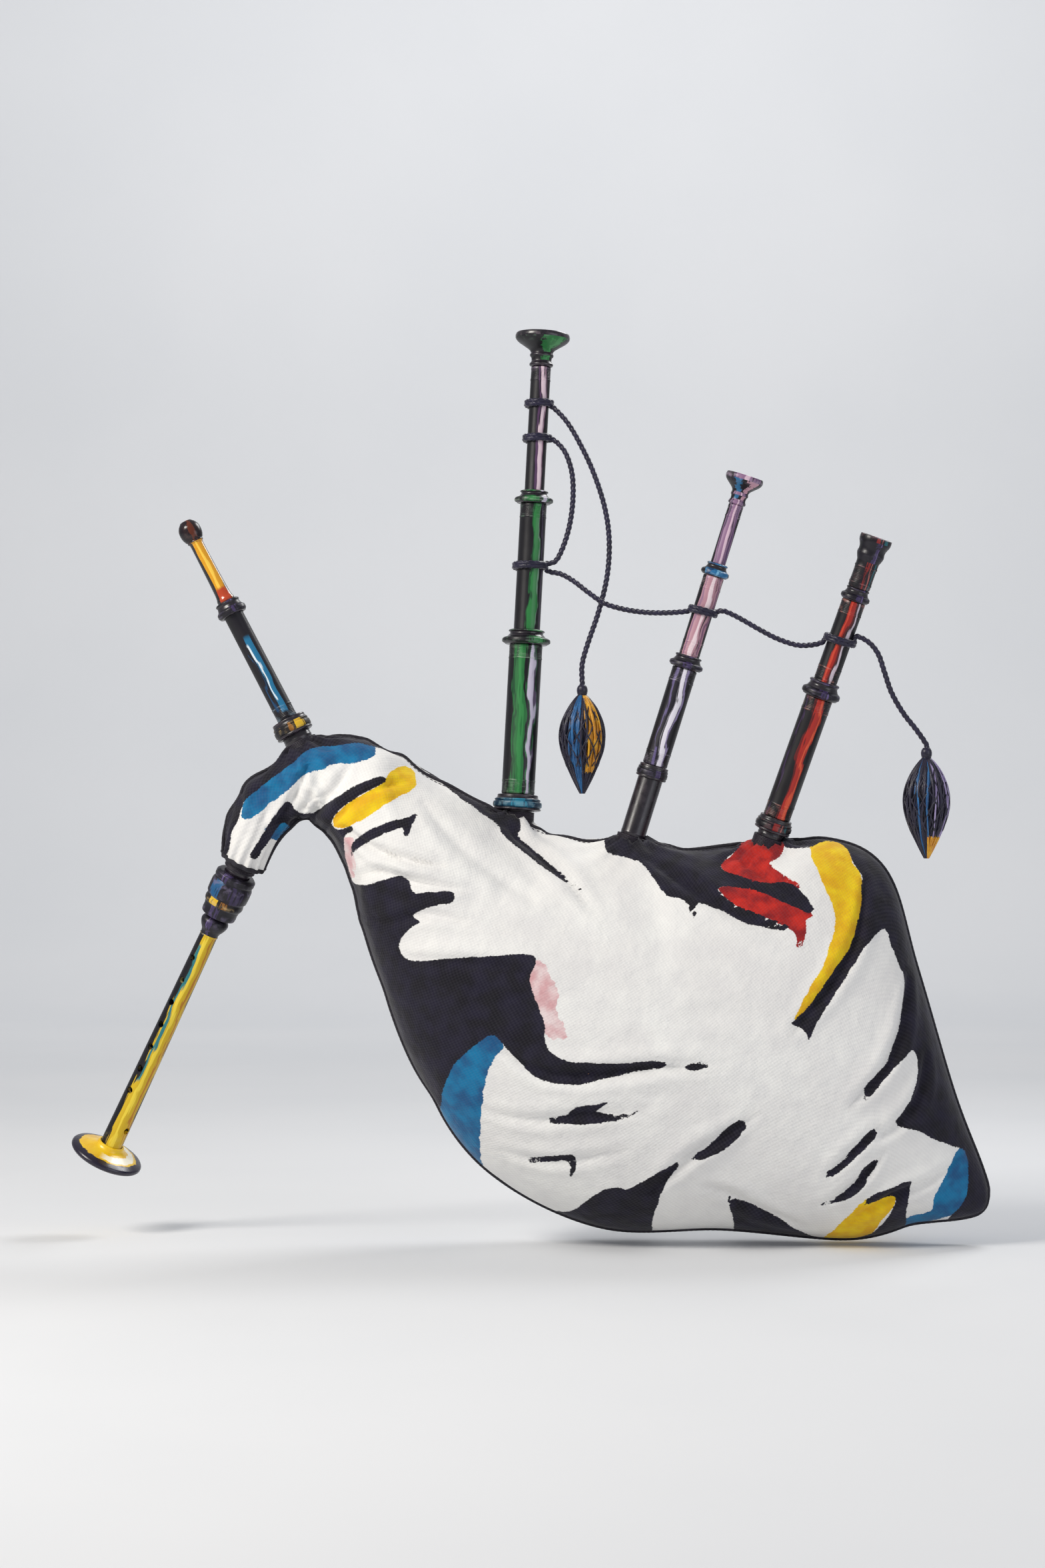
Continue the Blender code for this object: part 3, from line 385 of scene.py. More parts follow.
def combing(radius, foot, head, pitch=1.5 * MM, depth=0.35 * MM):
    """Fine grooves cut side by side, going up."""
    found = []
    for i in range(int((head - foot) / pitch)):
        low = foot + i * pitch
        found += [(radius - cut, low + share * pitch) for cut, share in ((0, 0.15), (depth, 0.5), (0, 0.85))]
    return found


def thread_turns(radius, foot, head, thick):
    """A layer of thread wound side by side, going up."""
    turns = max(1, round((head - foot) / thick))
    pitch = (head - foot) / turns
    found = []
    for i in range(turns):
        low = foot + i * pitch
        found += [(radius + thick * share, low + at * pitch) for share, at in
                  ((-0.10, 0.0), (0.26, 0.2), (0.38, 0.5), (0.26, 0.8))]
    return found + [(radius - 0.10 * thick, head)]


def swept(path, radius, sides=12, lobes=0, twist=0.0, lobe_depth=0.0, closed=False):
    """A tube's points and faces along a path. With lobes it is a cord whose strands turn once in a twist."""
    path = [Vector(p) for p in path]
    count = len(path)
    points, faces = [], []
    walked = 0.0
    tangent = (path[1] - path[0]).normalized()
    normal = tangent.orthogonal().normalized()
    for i, here in enumerate(path):
        before = path[i - 1] if i or closed else here
        after = path[(i + 1) % count] if i + 1 < count or closed else here
        fresh = (after - before).normalized()
        normal = (normal - fresh * normal.dot(fresh)).normalized()
        across = fresh.cross(normal)
        if i:
            walked += (here - path[i - 1]).length
        size = radius(i / (count - 1)) if callable(radius) else radius
        for k in range(sides):
            angle = 2 * pi * k / sides
            out = size
            if lobes:
                out *= 1 - lobe_depth * (0.5 + 0.5 * cos(lobes * angle - 2 * pi * lobes * walked / twist))
            points.append(here + (normal * cos(angle) + across * sin(angle)) * out)
    for i in range(count if closed else count - 1):
        low, high = i * sides, ((i + 1) % count) * sides
        for k in range(sides):
            nxt = (k + 1) % sides
            faces.append((low + k, low + nxt, high + nxt, high + k))
    if not closed:
        faces.append(tuple(range(sides))[::-1])
        faces.append(tuple(range((count - 1) * sides, count * sides)))
    return points, faces


class Bunch:
    """Many small meshes gathered to make one piece."""

    def __init__(self):
        self.points, self.faces, self.picks = [], [], []

    def add(self, points, faces, pick=0):
        start = len(self.points)
        self.points += list(points)
        self.faces += [tuple(start + corner for corner in face) for face in faces]
        self.picks += [pick] * len(faces)

    def make(self, name, materials, body, line=None, hard=0):
        return piece(name, self.points, self.faces, materials, line, self.picks, hard, body)


def smooth_through(points, steps):
    """A Catmull-Rom curve through the points, with that many steps from each to the next."""
    ends = [points[0], *points, points[-1]]
    found = []
    for p, q, r, s in zip(ends, ends[1:], ends[2:], ends[3:]):
        for step in range(steps):
            t = step / steps
            found.append(0.5 * (2 * q + (r - p) * t + (2 * p - 5 * q + 4 * r - s) * t**2
                                + (3 * q - p - 3 * r + s) * t**3))
    return found + [points[-1]]


def spaced(points, step):
    """The same line with its points that far apart."""
    points = np.array([tuple(p) for p in points])
    runs = np.concatenate([[0], np.cumsum(np.linalg.norm(np.diff(points, axis=0), axis=1))])
    at = np.linspace(0, runs[-1], max(2, round(runs[-1] / step) + 1))
    return np.stack([np.interp(at, runs, points[:, k]) for k in range(3)], axis=1), runs[-1]


# ---- finishes
# Black paint: drawn lines on the pipes and the mouthpiece, and painted shade down their sides.
INK_AND_SIDE_SHADE = "#0e0c13"


def make_blackwood():
    """African blackwood, oiled: near black with fine brown grain, a satin shine, paler on its edges from wear
    and as a painted highlight.
    """
    made, tree, place = new_material(
        "oiled_blackwood", IOR=1.52, Coat_Weight=0.25, Coat_Roughness=0.18
    )
    grain = uneven(tree, place, 2.6, 0.0, 1.0, 5.0, (1.0, 1.0, 0.05))
    figure = uneven(tree, place, 18, 0.0, 0.55, 3.0, (1.0, 1.0, 0.15))
    # paler convex edges: wear, and a painted edge highlight
    worn_and_lit = put(tree, READ, attribute_name="worn_and_lit")
    scuffed = uneven(tree, place, 6, -0.4, 0.45, 4.0)
    rubbed_and_lit = put(tree, MATH, {0: worn_and_lit.outputs["Fac"], 1: scuffed}, operation="MULTIPLY")
    colour = layered(tree, linear("#0d0b11"), [
        (figure, linear("#1d1626")),
        (put(tree, MATH, {0: grain, 1: 0.35}, operation="MULTIPLY"), linear("#30232c")),
        (rubbed_and_lit, linear("#6a5c66")),
    ])
    return surfaced(made, colour, uneven(tree, place, 12, 0.24, 0.40), (grain, 0.20, 0.12))


def make_amber():
    """Amber acrylic, turned and buffed: glassy, streaked orange and gold, with painted shade along its sides.
    """
    made, tree, place = new_material(
        "amber_acrylic", IOR=1.49, Coat_Weight=0.5, Coat_Roughness=0.05, Subsurface_Weight=0.12,
        Subsurface_Scale=0.004,
    )
    # the black strokes at the two sides are painted shade
    colour = painted(tree, place, "#d99a1c", [
        ("#f2c64a", 8, 13, 0.5), ("#b4401c", 4, 70, 0.5, 190, 236), ("#1b1020", 0, 90, 0.3, 150, 212),
        (INK_AND_SIDE_SHADE, -66, 44, 0.3), (INK_AND_SIDE_SHADE, 76, 20, 0.4),
    ])
    ripples = uneven(tree, place, 9, 0.0, 1.0)
    return surfaced(made, colour, uneven(tree, place, 14, 0.12, 0.24), (ripples, 0.12, 0.3))


def make_sole():
    """The chanter's sole, lacquered maple: yellow with a pale moon painted as a highlight, and a violet-black
    rim.
    """
    made, tree, place = new_material(
        "lacquered_maple_sole", IOR=1.50, Coat_Weight=0.15, Coat_Roughness=0.18
    )
    parts = put(tree, SPLIT, {0: place})
    level = put(tree, VECTOR, {0: place, 1: (1.0, 1.0, 0.0)}, operation="MULTIPLY")
    out = put(tree, VECTOR, {0: level}, operation="LENGTH")
    wander = uneven(tree, place, 9, -1.2 * MM, 1.2 * MM, 3.0)
    reach = put(tree, MATH, {0: out.outputs["Value"], 1: wander}, operation="ADD")
    rim, inner, outer, side = (
        put(tree, RANGE, {"Value": value, "From Min": start * MM, "From Max": end * MM}, **EASED)
        for value, start, end in (
            (reach, 31.8, 33.0), (reach, 20.0, 21.2), (reach, 30.2, 29.0), (parts.outputs["X"], 6, -4))
    )
    # a painted highlight: a pale crescent on one side of the face
    moon = put(tree, MATH, {0: inner, 1: outer}, operation="MULTIPLY")
    moon = put(tree, MATH, {0: moon, 1: side}, operation="MULTIPLY")
    drift = uneven(tree, place, 16, 0.0, 0.7)
    colour = layered(tree, linear("#f0c81a"), [
        (drift, linear("#e0a914")), (moon, linear("#f6f1dc")), (rim, linear("#1b1428")),
    ])
    polish = uneven(tree, level.outputs[0], 1.2, 0.0, 1.0, 2.0)
    return surfaced(made, colour, uneven(tree, place, 12, 0.22, 0.36), (polish, 0.12, 0.1))


# The dyes of the bag's cover: name, the shade that it clouds to, and how far its edge wanders in millimetres.
# The black in it is painted shade: in the crook, along the edges and in the folds.
DYES = (
    ("pink", "#ecd9d8", 2.6),
    ("yellow", "#e3ad12", 0.7),
    ("blue", "#1b5483", 0.9),
    ("red", "#86161b", 0.7),
    ("ink_shade", "#1d1a2c", 0.6),
)


THREAD_SPACING = 2.2  # millimetres: coarser than real threads, which are 0.9 apart, so that the weave shows


def make_cover_cloth():
    """Brushed wool, plain woven and hand-dyed, with painted shade laid on in black: matt, downy, faintly
    mottled, its dyes' edges feathered.
    """
    made, tree, place = new_material(
        "dyed_wool_cloth", IOR=1.45, Sheen_Weight=0.12, Sheen_Roughness=0.45, Specular_IOR_Level=0.25
    )
    colours = bpy.context.scene.bagpipes_colours
    warm = uneven(tree, place, 85, 0.0, 1.0, 3.0)
    soiled = uneven(tree, place, 24, 0.0, 0.35, 4.0)
    ground = layered(tree, (*colours.cloth, 1.0), [(warm, linear("#ebe9e6")), (soiled, linear("#dedcdc"))])
    feather = uneven(tree, place, 14, -1.0, 1.0, 3.0)
    fibres = uneven(tree, place, 1.8, -1.0, 1.0, 2.0)
    layers = []
    # the black is painted shade, laid on like the dyes
    for name, shade, wander in DYES:
        field = put(tree, READ, attribute_name=name)
        edge = put(tree, MATH, {0: feather, 1: wander, 2: field.outputs["Fac"]}, operation="MULTIPLY_ADD")
        edge = put(tree, MATH, {0: fibres, 1: 0.45, 2: edge}, operation="MULTIPLY_ADD")
        share = put(tree, RANGE, {"Value": edge, "From Min": -0.35, "From Max": 0.35}, **EASED)
        cloudy = put(tree, MIX, {
            "Factor": uneven(tree, place, 17, 0.0, 1.0, 4.0), MIX_A: (*getattr(colours, name), 1.0),
            MIX_B: linear(shade),
        }, data_type="RGBA")
        layers.append((share, cloudy))
    colour = layered(tree, ground, layers)
    # Plain weave: the two sets of threads cross over and under.
    waves = []
    for name in ("weft_mm", "warp_mm"):
        across = put(tree, READ, attribute_name=name)
        phase = put(tree, MATH, {0: across.outputs["Fac"], 1: pi / THREAD_SPACING}, operation="MULTIPLY")
        waves.append(put(tree, MATH, {0: phase}, operation="SINE"))
    weave = put(tree, MATH, {0: waves[0], 1: waves[1]}, operation="MULTIPLY")
    threads = put(tree, RANGE, {"Value": weave, "From Min": -1.0, "To Max": 0.09})
    colour = layered(tree, colour, [(threads, linear("#77757c"))])
    down = uneven(tree, place, 0.9, 0.0, 1.0, 3.0)
    rumple = uneven(tree, place, 16, 0.0, 1.0, 3.0)
    matt = uneven(tree, place, 20, 0.80, 0.94)
    return surfaced(made, colour, matt, (rumple, 0.35, 1.6), (weave, 0.30, 0.30), (down, 0.22, 0.25))


def make_hide():
    """Tanned sheepskin, seasoned: tan, matt and pebbled."""
    made, tree, place = new_material("tanned_sheepskin", IOR=1.45, Specular_IOR_Level=0.35)
    pebbles = put(
        tree, "ShaderNodeTexVoronoi", {"Vector": place, "Scale": 1 / (2.4 * MM)}, feature="SMOOTH_F1"
    )
    colour = layered(tree, linear("#8f6a42"), [(uneven(tree, place, 30, 0.0, 0.8), linear("#6d4b2b"))])
    matt = uneven(tree, place, 12, 0.60, 0.80)
    return surfaced(made, colour, matt, (pebbles.outputs["Distance"], 0.4, 0.5))


def make_thread(name, colour, shade, roughness, fibre_mm, sheen=0.0, along=(1.0, 1.0, 1.0)):
    """Spun thread of one kind: fine fibres under the light, darker between the strands."""
    made, tree, place = new_material(name, IOR=1.46, Sheen_Weight=sheen, Sheen_Roughness=0.35)
    fibres = uneven(tree, place, fibre_mm, 0.0, 1.0, 3.0, along)
    drift = uneven(tree, place, 9, 0.0, 0.6)
    spun = layered(tree, linear(colour), [
        (drift, linear(shade)), (put(tree, MATH, {0: fibres, 1: 0.5}, operation="MULTIPLY"), linear(shade)),
    ])
    sheens = uneven(tree, place, 7, roughness - 0.06, roughness + 0.06)
    return surfaced(made, spun, sheens, (fibres, 0.35, 0.25))


def make_cane():
    """Split cane, scraped: pale straw with long fibres, waxy."""
    made, tree, place = new_material("scraped_cane", IOR=1.48, Specular_IOR_Level=0.4)
    fibres = uneven(tree, place, 0.8, 0.0, 1.0, 3.0, (1.0, 1.0, 0.04))
    colour = layered(tree, linear("#d8bb7c"), [(fibres, linear("#b28d4d"))])
    return surfaced(made, colour, uneven(tree, place, 8, 0.42, 0.58), (fibres, 0.3, 0.15))


def make_rubber():
    """Moulded rubber: matt black with a faint grey bloom."""
    made, tree, place = new_material("moulded_rubber", IOR=1.52)
    colour = layered(tree, linear("#1a1a1c"), [(uneven(tree, place, 6, 0.0, 0.6), linear("#323235"))])
    grit = uneven(tree, place, 0.7, 0.0, 1.0)
    return surfaced(made, colour, uneven(tree, place, 5, 0.70, 0.85), (grit, 0.25, 0.1))


def make_brass():
    """Drawn brass tube, handled: yellow, tarnished brown in patches, with fine draw lines."""
    made, tree, place = new_material("drawn_brass", Metallic=1.0)
    tarnish = uneven(tree, place, 5, 0.0, 0.7, 4.0)
    colour = layered(tree, linear("#d8b25c"), [(tarnish, linear("#8a6430"))])
    lines = uneven(tree, place, 0.5, 0.0, 1.0, 2.0, (1.0, 1.0, 0.03))
    return surfaced(made, colour, uneven(tree, place, 4, 0.22, 0.42), (lines, 0.15, 0.05))


# Each lacquer, as `lacquered` takes it. In each, the black strokes that reach out to the two sides are
# painted shade down the pipe's sides.
LACQUERS = {
    # the pale lavender stroke is a painted highlight
    "green": ("green_painted_lacquer", "#236a36", [
        ("#17492a", -26, 9, 0.9), ("#318043", -6, 9, 0.8), (INK_AND_SIDE_SHADE, 14, 6, 0.5), ("#c9c0d4", 31, 11, 0.35),
        ("#5b4c66", 43, 4, 0.8), (INK_AND_SIDE_SHADE, -66, 34, 0.25), (INK_AND_SIDE_SHADE, 70, 26, 0.25),
    ], "#9fb59f"),
    "black_green": ("black_and_green_lacquer", "#121117", [
        ("#2b7a3e", 16, 26, 0.45), ("#17492a", 2, 7, 0.9), ("#7d9a86", 34, 3, 1.0), ("#4f4259", 52, 5, 0.9),
        (INK_AND_SIDE_SHADE, -58, 46, 0.25), (INK_AND_SIDE_SHADE, 76, 18, 0.3),
    ], "#7d9a86"),
    # the pinkish-white stroke is a painted sheen
    "aubergine": ("aubergine_painted_lacquer", "#1c1523", [
        ("#54395a", -4, 9, 0.9), ("#dcc4cf", 20, 15, 0.35), ("#a78397", 36, 5, 0.7), (INK_AND_SIDE_SHADE, -58, 48, 0.25),
        (INK_AND_SIDE_SHADE, 72, 26, 0.3),
    ], "#8a7a90"),
    "green_bell": ("black_bell_lacquer", "#121117", [
        ("#27703a", 34, 34, 0.6), ("#3c8a4c", 44, 12, 1.0), (INK_AND_SIDE_SHADE, -50, 46, 0.25), (INK_AND_SIDE_SHADE, 84, 10, 0.4),
    ], "#6d8a74"),
    # the near-white stroke is a painted highlight
    "violet": ("violet_painted_lacquer", "#1a1622", [
        ("#5d527d", -26, 9, 0.9), ("#e4e0ea", 10, 14, 0.35), ("#8f82a9", 27, 6, 0.7), (INK_AND_SIDE_SHADE, -66, 34, 0.3),
        (INK_AND_SIDE_SHADE, 66, 32, 0.3), (INK_AND_SIDE_SHADE, 0, 3, 1.3), (INK_AND_SIDE_SHADE, 0, 90, 0.3, 0, 98),
    ], "#b8afc4"),
    # the pale pink stroke is a painted highlight
    "rose": ("rose_painted_lacquer", "#b38592", [
        ("#8a6480", -32, 9, 0.9), ("#e8d3d8", 6, 13, 0.5), (INK_AND_SIDE_SHADE, 27, 3, 1.0), ("#7c5672", 42, 9, 0.7),
        (INK_AND_SIDE_SHADE, -68, 25, 0.3), (INK_AND_SIDE_SHADE, 74, 25, 0.3),
    ], "#d9bcc2"),
    # the pale pink stroke is a painted highlight
    "mauve": ("mauve_painted_lacquer", "#8d6b8b", [
        ("#4a3656", -34, 10, 0.8), ("#d7bac9", 4, 12, 0.6), (INK_AND_SIDE_SHADE, 24, 3, 1.0), ("#5a4267", 40, 9, 0.8),
        (INK_AND_SIDE_SHADE, -68, 25, 0.3), (INK_AND_SIDE_SHADE, 74, 25, 0.3),
    ], "#c3adc4"),
    "sky": ("blue_painted_lacquer", "#226a9b", [
        ("#6fa9cc", 8, 11, 0.8), ("#173f6a", -34, 16, 0.8), (INK_AND_SIDE_SHADE, -76, 26, 0.35), (INK_AND_SIDE_SHADE, 78, 24, 0.35),
    ], "#9bb8c8"),
    "mixed_bell": ("rose_and_blue_lacquer", "#17141e", [
        ("#c193a2", 34, 24, 0.7), ("#23648f", -24, 22, 0.7), (INK_AND_SIDE_SHADE, 2, 8, 0.5), (INK_AND_SIDE_SHADE, -80, 22, 0.3),
        (INK_AND_SIDE_SHADE, 84, 16, 0.3),
    ], "#a799ae"),
    # the orange-red stroke is a painted highlight
    "red": ("red_painted_lacquer", "#120f14", [
        ("#a8261c", 14, 24, 0.40), ("#d4512f", 22, 9, 0.8), ("#5d1416", -4, 6, 0.9), ("#3a2a4a", -48, 6, 1.0),
        (INK_AND_SIDE_SHADE, 70, 36, 0.25),
    ], "#c98a80"),
    # the pale stroke is a painted highlight
    "red_waist": ("red_waist_lacquer", "#120f14", [
        ("#9f241b", -2, 17, 0.45), ("#c8452f", -6, 6, 0.9), ("#cfc0cb", 27, 5, 0.5), ("#5d1416", 15, 5, 0.9),
        (INK_AND_SIDE_SHADE, -66, 40, 0.25), (INK_AND_SIDE_SHADE, 68, 33, 0.25),
    ], "#c98a80"),
    "oxblood": ("oxblood_painted_lacquer", "#17101a", [
        ("#84201d", 2, 13, 0.9), ("#b3645d", 22, 4, 1.0), ("#1b636c", 42, 6, 1.1), (INK_AND_SIDE_SHADE, -62, 42, 0.25),
        (INK_AND_SIDE_SHADE, 74, 26, 0.3),
    ], "#8a6a6c"),
    "purple_black": ("violet_black_lacquer", "#15121c", [
        ("#3a2e54", 14, 18, 1.0), ("#5f4f80", 26, 5, 1.0), (INK_AND_SIDE_SHADE, -70, 36, 0.3), (INK_AND_SIDE_SHADE, 80, 24, 0.3),
    ], "#7c7290"),
    # the near-white stroke is a painted highlight
    "deep_blue": ("deep_blue_painted_lacquer", "#14111a", [
        ("#1f6f98", 12, 24, 0.45, 86, 176), ("#dbe6ec", 0, 6, 0.4, 100, 170),
        ("#0f3f66", -22, 6, 0.9, 90, 160), (INK_AND_SIDE_SHADE, -66, 40, 0.3), (INK_AND_SIDE_SHADE, 74, 28, 0.3),
    ], "#9cb4c6"),
    "chanter_ring": ("blue_and_violet_lacquer", "#17131f", [
        ("#1c5480", 30, 20, 0.8), ("#33284a", -30, 18, 0.9), (INK_AND_SIDE_SHADE, 0, 8, 0.5), (INK_AND_SIDE_SHADE, -80, 24, 0.3),
        (INK_AND_SIDE_SHADE, 80, 20, 0.3),
    ], "#7c7290"),
    "tip": ("dark_acrylic_tip", "#1d141a", [
        ("#5a2a1c", 10, 20, 0.9), (INK_AND_SIDE_SHADE, -70, 30, 0.3), (INK_AND_SIDE_SHADE, 74, 24, 0.3),
    ], "#8a6a5c", 0.20),
    # the dark teal strokes at the two sides are painted shade
    "ring_blue": ("teal_ring_lacquer", "#174f69", [
        ("#267c97", 4, 18, 0.9), ("#0e2c42", -50, 28, 0.6), ("#0e2c42", 66, 26, 0.6), (INK_AND_SIDE_SHADE, -84, 16, 0.5),
    ], "#8fb0b8"),
    "gold": ("old_gold_lacquer", "#1d1512", [
        ("#d9b02c", 22, 20, 0.7), ("#8b5a1c", -10, 10, 0.9), (INK_AND_SIDE_SHADE, -66, 40, 0.3), (INK_AND_SIDE_SHADE, 74, 24, 0.4),
    ], "#cdb27c"),
    "chanter_yellow": ("yellow_painted_maple", "#d3ae17", [
        ("#ecd03c", -8, 16, 0.8), ("#b9781a", -44, 9, 0.9), ("#20747c", 16, 13, 0.6, 130, 300),
        (INK_AND_SIDE_SHADE, -82, 14, 0.4), ("#8c3a1c", -62, 4, 1.0), (INK_AND_SIDE_SHADE, 62, 44, 0.30),
    ], "#f0dc9a", 0.36),
}
# Each thread, as `make_thread` takes it.
THREADS = {
    "wax_thread": ("waxed_linen_thread", "#17141c", "#342e3a", 0.48, 0.7),
    "hemp": ("waxed_yellow_hemp", "#b98f3d", "#7d5a22", 0.60, 0.6),
    "piping": ("black_cotton_piping", "#16141b", "#2a2731", 0.78, 0.8, 0.1),
    "stitching": ("linen_stitching", "#3a3640", "#201d26", 0.70, 0.5),
    "silk": ("navy_silk_cord", "#211c3c", "#100d1e", 0.36, 0.8, 0.35),
}
for silk, colour, shade in (("black", "#15131f", "#2b2740"), ("blue", "#2a6fa6", "#1b3f70"),
                            ("gold", "#eab52a", "#c0701c"), ("lilac", "#b7a8cf", "#6f608f")):
    THREADS["silk_" + silk] = (silk + "_silk_fringe", colour, shade, 0.34, 0.9, 0.3, (1.0, 1.0, 0.08))
OTHER_FINISHES = {
    "blackwood": make_blackwood,
    "amber": make_amber,
    "sole": make_sole,
    "cloth": make_cover_cloth,
    "hide": make_hide,
    "cane": make_cane,
    "rubber": make_rubber,
    "brass": make_brass,
}
made_finishes = {}


def finish(name):
    """The material of that name, made once."""
    if name not in made_finishes:
        if name in LACQUERS:
            made_finishes[name] = lacquered(*LACQUERS[name])
        elif name in THREADS:
            made_finishes[name] = make_thread(*THREADS[name])
        else:
            made_finishes[name] = OTHER_FINISHES[name]()
    return made_finishes[name]


# ---- turned pieces
TENON_GAP = 0.4 * MM
# The pins and tenons that go into the next piece: their radii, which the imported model's sockets fit.
BASS_PIN, BASS_TOP_PIN, MIDDLE_PIN, OUTER_PIN = 9.5 * MM, 7.0 * MM, 5.2 * MM, 6.2 * MM
MOUTH_TENON = 7.0 * MM
REED_SEAT_RADIUS = 4.3 * MM
REED_SEAT_DEPTH = 10.0 * MM


def along(foot, head, base, proud, shares):
    """Outline points from (how far out, how far up, material number) shares of a part's own size."""
    return [(base + proud * out, foot + (head - foot) * up, *zone) for out, up, *zone in shares]


def zoned(points, zone):
    """The same (radius, height) points with a material number."""
    return [(radius, height, zone) for radius, height in points]


def flowing(shares, steps=5):
    """The same shares with a smooth curve drawn through them."""
    drawn = smooth_through([Vector((s[0], s[1], 0.0)) for s in shares], steps)
    return [(p.x, p.y) for p in drawn]


def named(obj, slot, *nodes):
    """The piece stands for these nodes, which it hides. The slot is not used."""
    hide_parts(*nodes)
    return obj


def lathed(node, slot, outline, finishes, body, name=None, **how):
    """A turned piece in the place of a node."""
    return named(turned(name or node + "_turned", outline, line_of(node), finishes, body, **how), slot, node)


def make_stock(pipe, ring_finishes, ring_slot):
    """A stock, its ferrule and the whipping that ties the bag to it."""
    foot, head, bore, outer = measured(pipe + "_stock")
    tie_foot, tie_head, inner, whip = measured(pipe + "_stock_whipping")
    groove = 0.8 * MM
    outline = [(outer, foot), (outer, tie_foot), (outer - groove, tie_foot + 1 * MM),
               (outer - groove, tie_head - 1 * MM), (outer, tie_head)]
    outline += bead(outer, tie_head + 2 * MM, 2.4 * MM, 0.25 * MM)
    outline += [(outer, head), (bore, head), (bore, foot)]
    lathed(pipe + "_stock", "blackwood", outline, ["blackwood"], "bag")

    coils = thread_turns(whip - 0.9 * MM, tie_foot, tie_head, 1.3 * MM)
    lathed(pipe + "_stock_whipping", "waxed_thread", [*coils, (inner, tie_head), (inner, tie_foot)],
           ["wax_thread"], "bag", pipe + "_thread_whipping", ease=0.0)

    low, high, inner, wide = measured(pipe + "_stock_ferrule")
    proud = wide - inner
    ring = len(ring_finishes) - 1
    outline = along(low, high, inner, proud, [
        (0.62, 0.0, 0), (0.92, 0.05, 0), (0.92, 0.14, 0), (0.78, 0.18, 1), (0.98, 0.26, 1), (1.0, 0.40, 1),
        (0.96, 0.54, 1), (0.76, 0.58, ring), (0.80, 0.63, ring), (0.86, 0.68, ring), (0.80, 0.73, 0),
        (0.66, 0.76, 0), (0.55, 0.86, 0), (0.58, 0.93, 0), (0.52, 1.0, 0), (0.0, 1.0, 0), (0.0, 0.0, 0),
    ])
    lathed(pipe + "_stock_ferrule", ring_slot, outline, ring_finishes, "bag", pipe + "_turned_ferrule")


def make_mount(node, body, finishes, slot):
    """A projecting mount: a wide bead between two fillets, then a hollow and a small collar."""
    low, high, inner, wide = measured(node)
    swell = flowing([(0.74, 0.06), (0.98, 0.16), (1.0, 0.27), (0.94, 0.40), (0.62, 0.50)])
    hollow = flowing([(0.44, 0.60), (0.30, 0.72), (0.30, 0.82)])
    outline = along(low, high, inner, wide - inner, [
        (0.52, 0.0, 0), (0.70, 0.02, 0), *zoned(swell, 1), (0.52, 0.53, 0), *zoned(hollow, 0),
        (0.40, 0.86, 1), (0.44, 0.90, 1), (0.40, 0.95, 1), (0.26, 0.98, 0), (0.22, 1.0, 0), (0.0, 1.0, 0),
        (0.0, 0.0, 0),
    ])
    lathed(node, slot, outline, finishes, body, ease=0.35 * MM)


def barrel(foot, head, radius, head_radius=None):
    """The outside of a joint's body, with combed bands and beads near its two ends."""
    head_radius = head_radius or radius
    band = min(9 * MM, 0.10 * (head - foot))

    def at(height):
        return radius + (head_radius - radius) * (height - foot) / (head - foot)

    low, high = foot + 3 * MM, head - 3 * MM - band
    return [
        (radius * 0.965, foot), (radius, foot + 1 * MM), *combing(at(low), low, low + band),
        *bead(at(low + band) - 0.1 * MM, low + band + 1 * MM, 2.2 * MM, 0.35 * MM),
        *bead(at(high) - 0.1 * MM, high - 3.2 * MM, 2.2 * MM, 0.35 * MM),
        *combing(at(high), high, high + band), (head_radius, head - 1 * MM), (head_radius * 0.965, head),
    ]


def hemped(radius, foot, head):
    """A tuning pin or tenon: bare wood at both ends and yellow hemp wound between them."""
    wound = min(0.55 * (head - foot), 26 * MM)
    low = (foot + head) / 2 - wound / 2
    turns = thread_turns(radius - 0.35 * MM, low, low + wound, 0.8 * MM)
    return [
        (radius, foot, 0), (radius, low - 0.3 * MM, 0), *zoned(turns, 1), (radius, low + wound + 0.4 * MM, 0),
        (radius, head - 0.8 * MM, 0), (radius - 0.7 * MM, head, 0),
    ]


def reed_seat(bore, foot, head):
    """A lowest joint's bore, going down, with the seat of its reed at the foot."""
    seat = foot + REED_SEAT_DEPTH
    return [(bore, head, 0), (bore, seat, 0), (REED_SEAT_RADIUS, seat, 0), (REED_SEAT_RADIUS, foot, 0)]


def socketed(bore, head, foot, pin, pin_head):
    """A joint's bore, going down, with the socket at its foot that a tuning pin slides in."""
    socket, depth = pin + TENON_GAP, pin_head - foot + 1 * MM
    return [(bore, head, 0), (bore, foot + depth, 0), (socket, foot + depth, 0), (socket, foot, 0)]


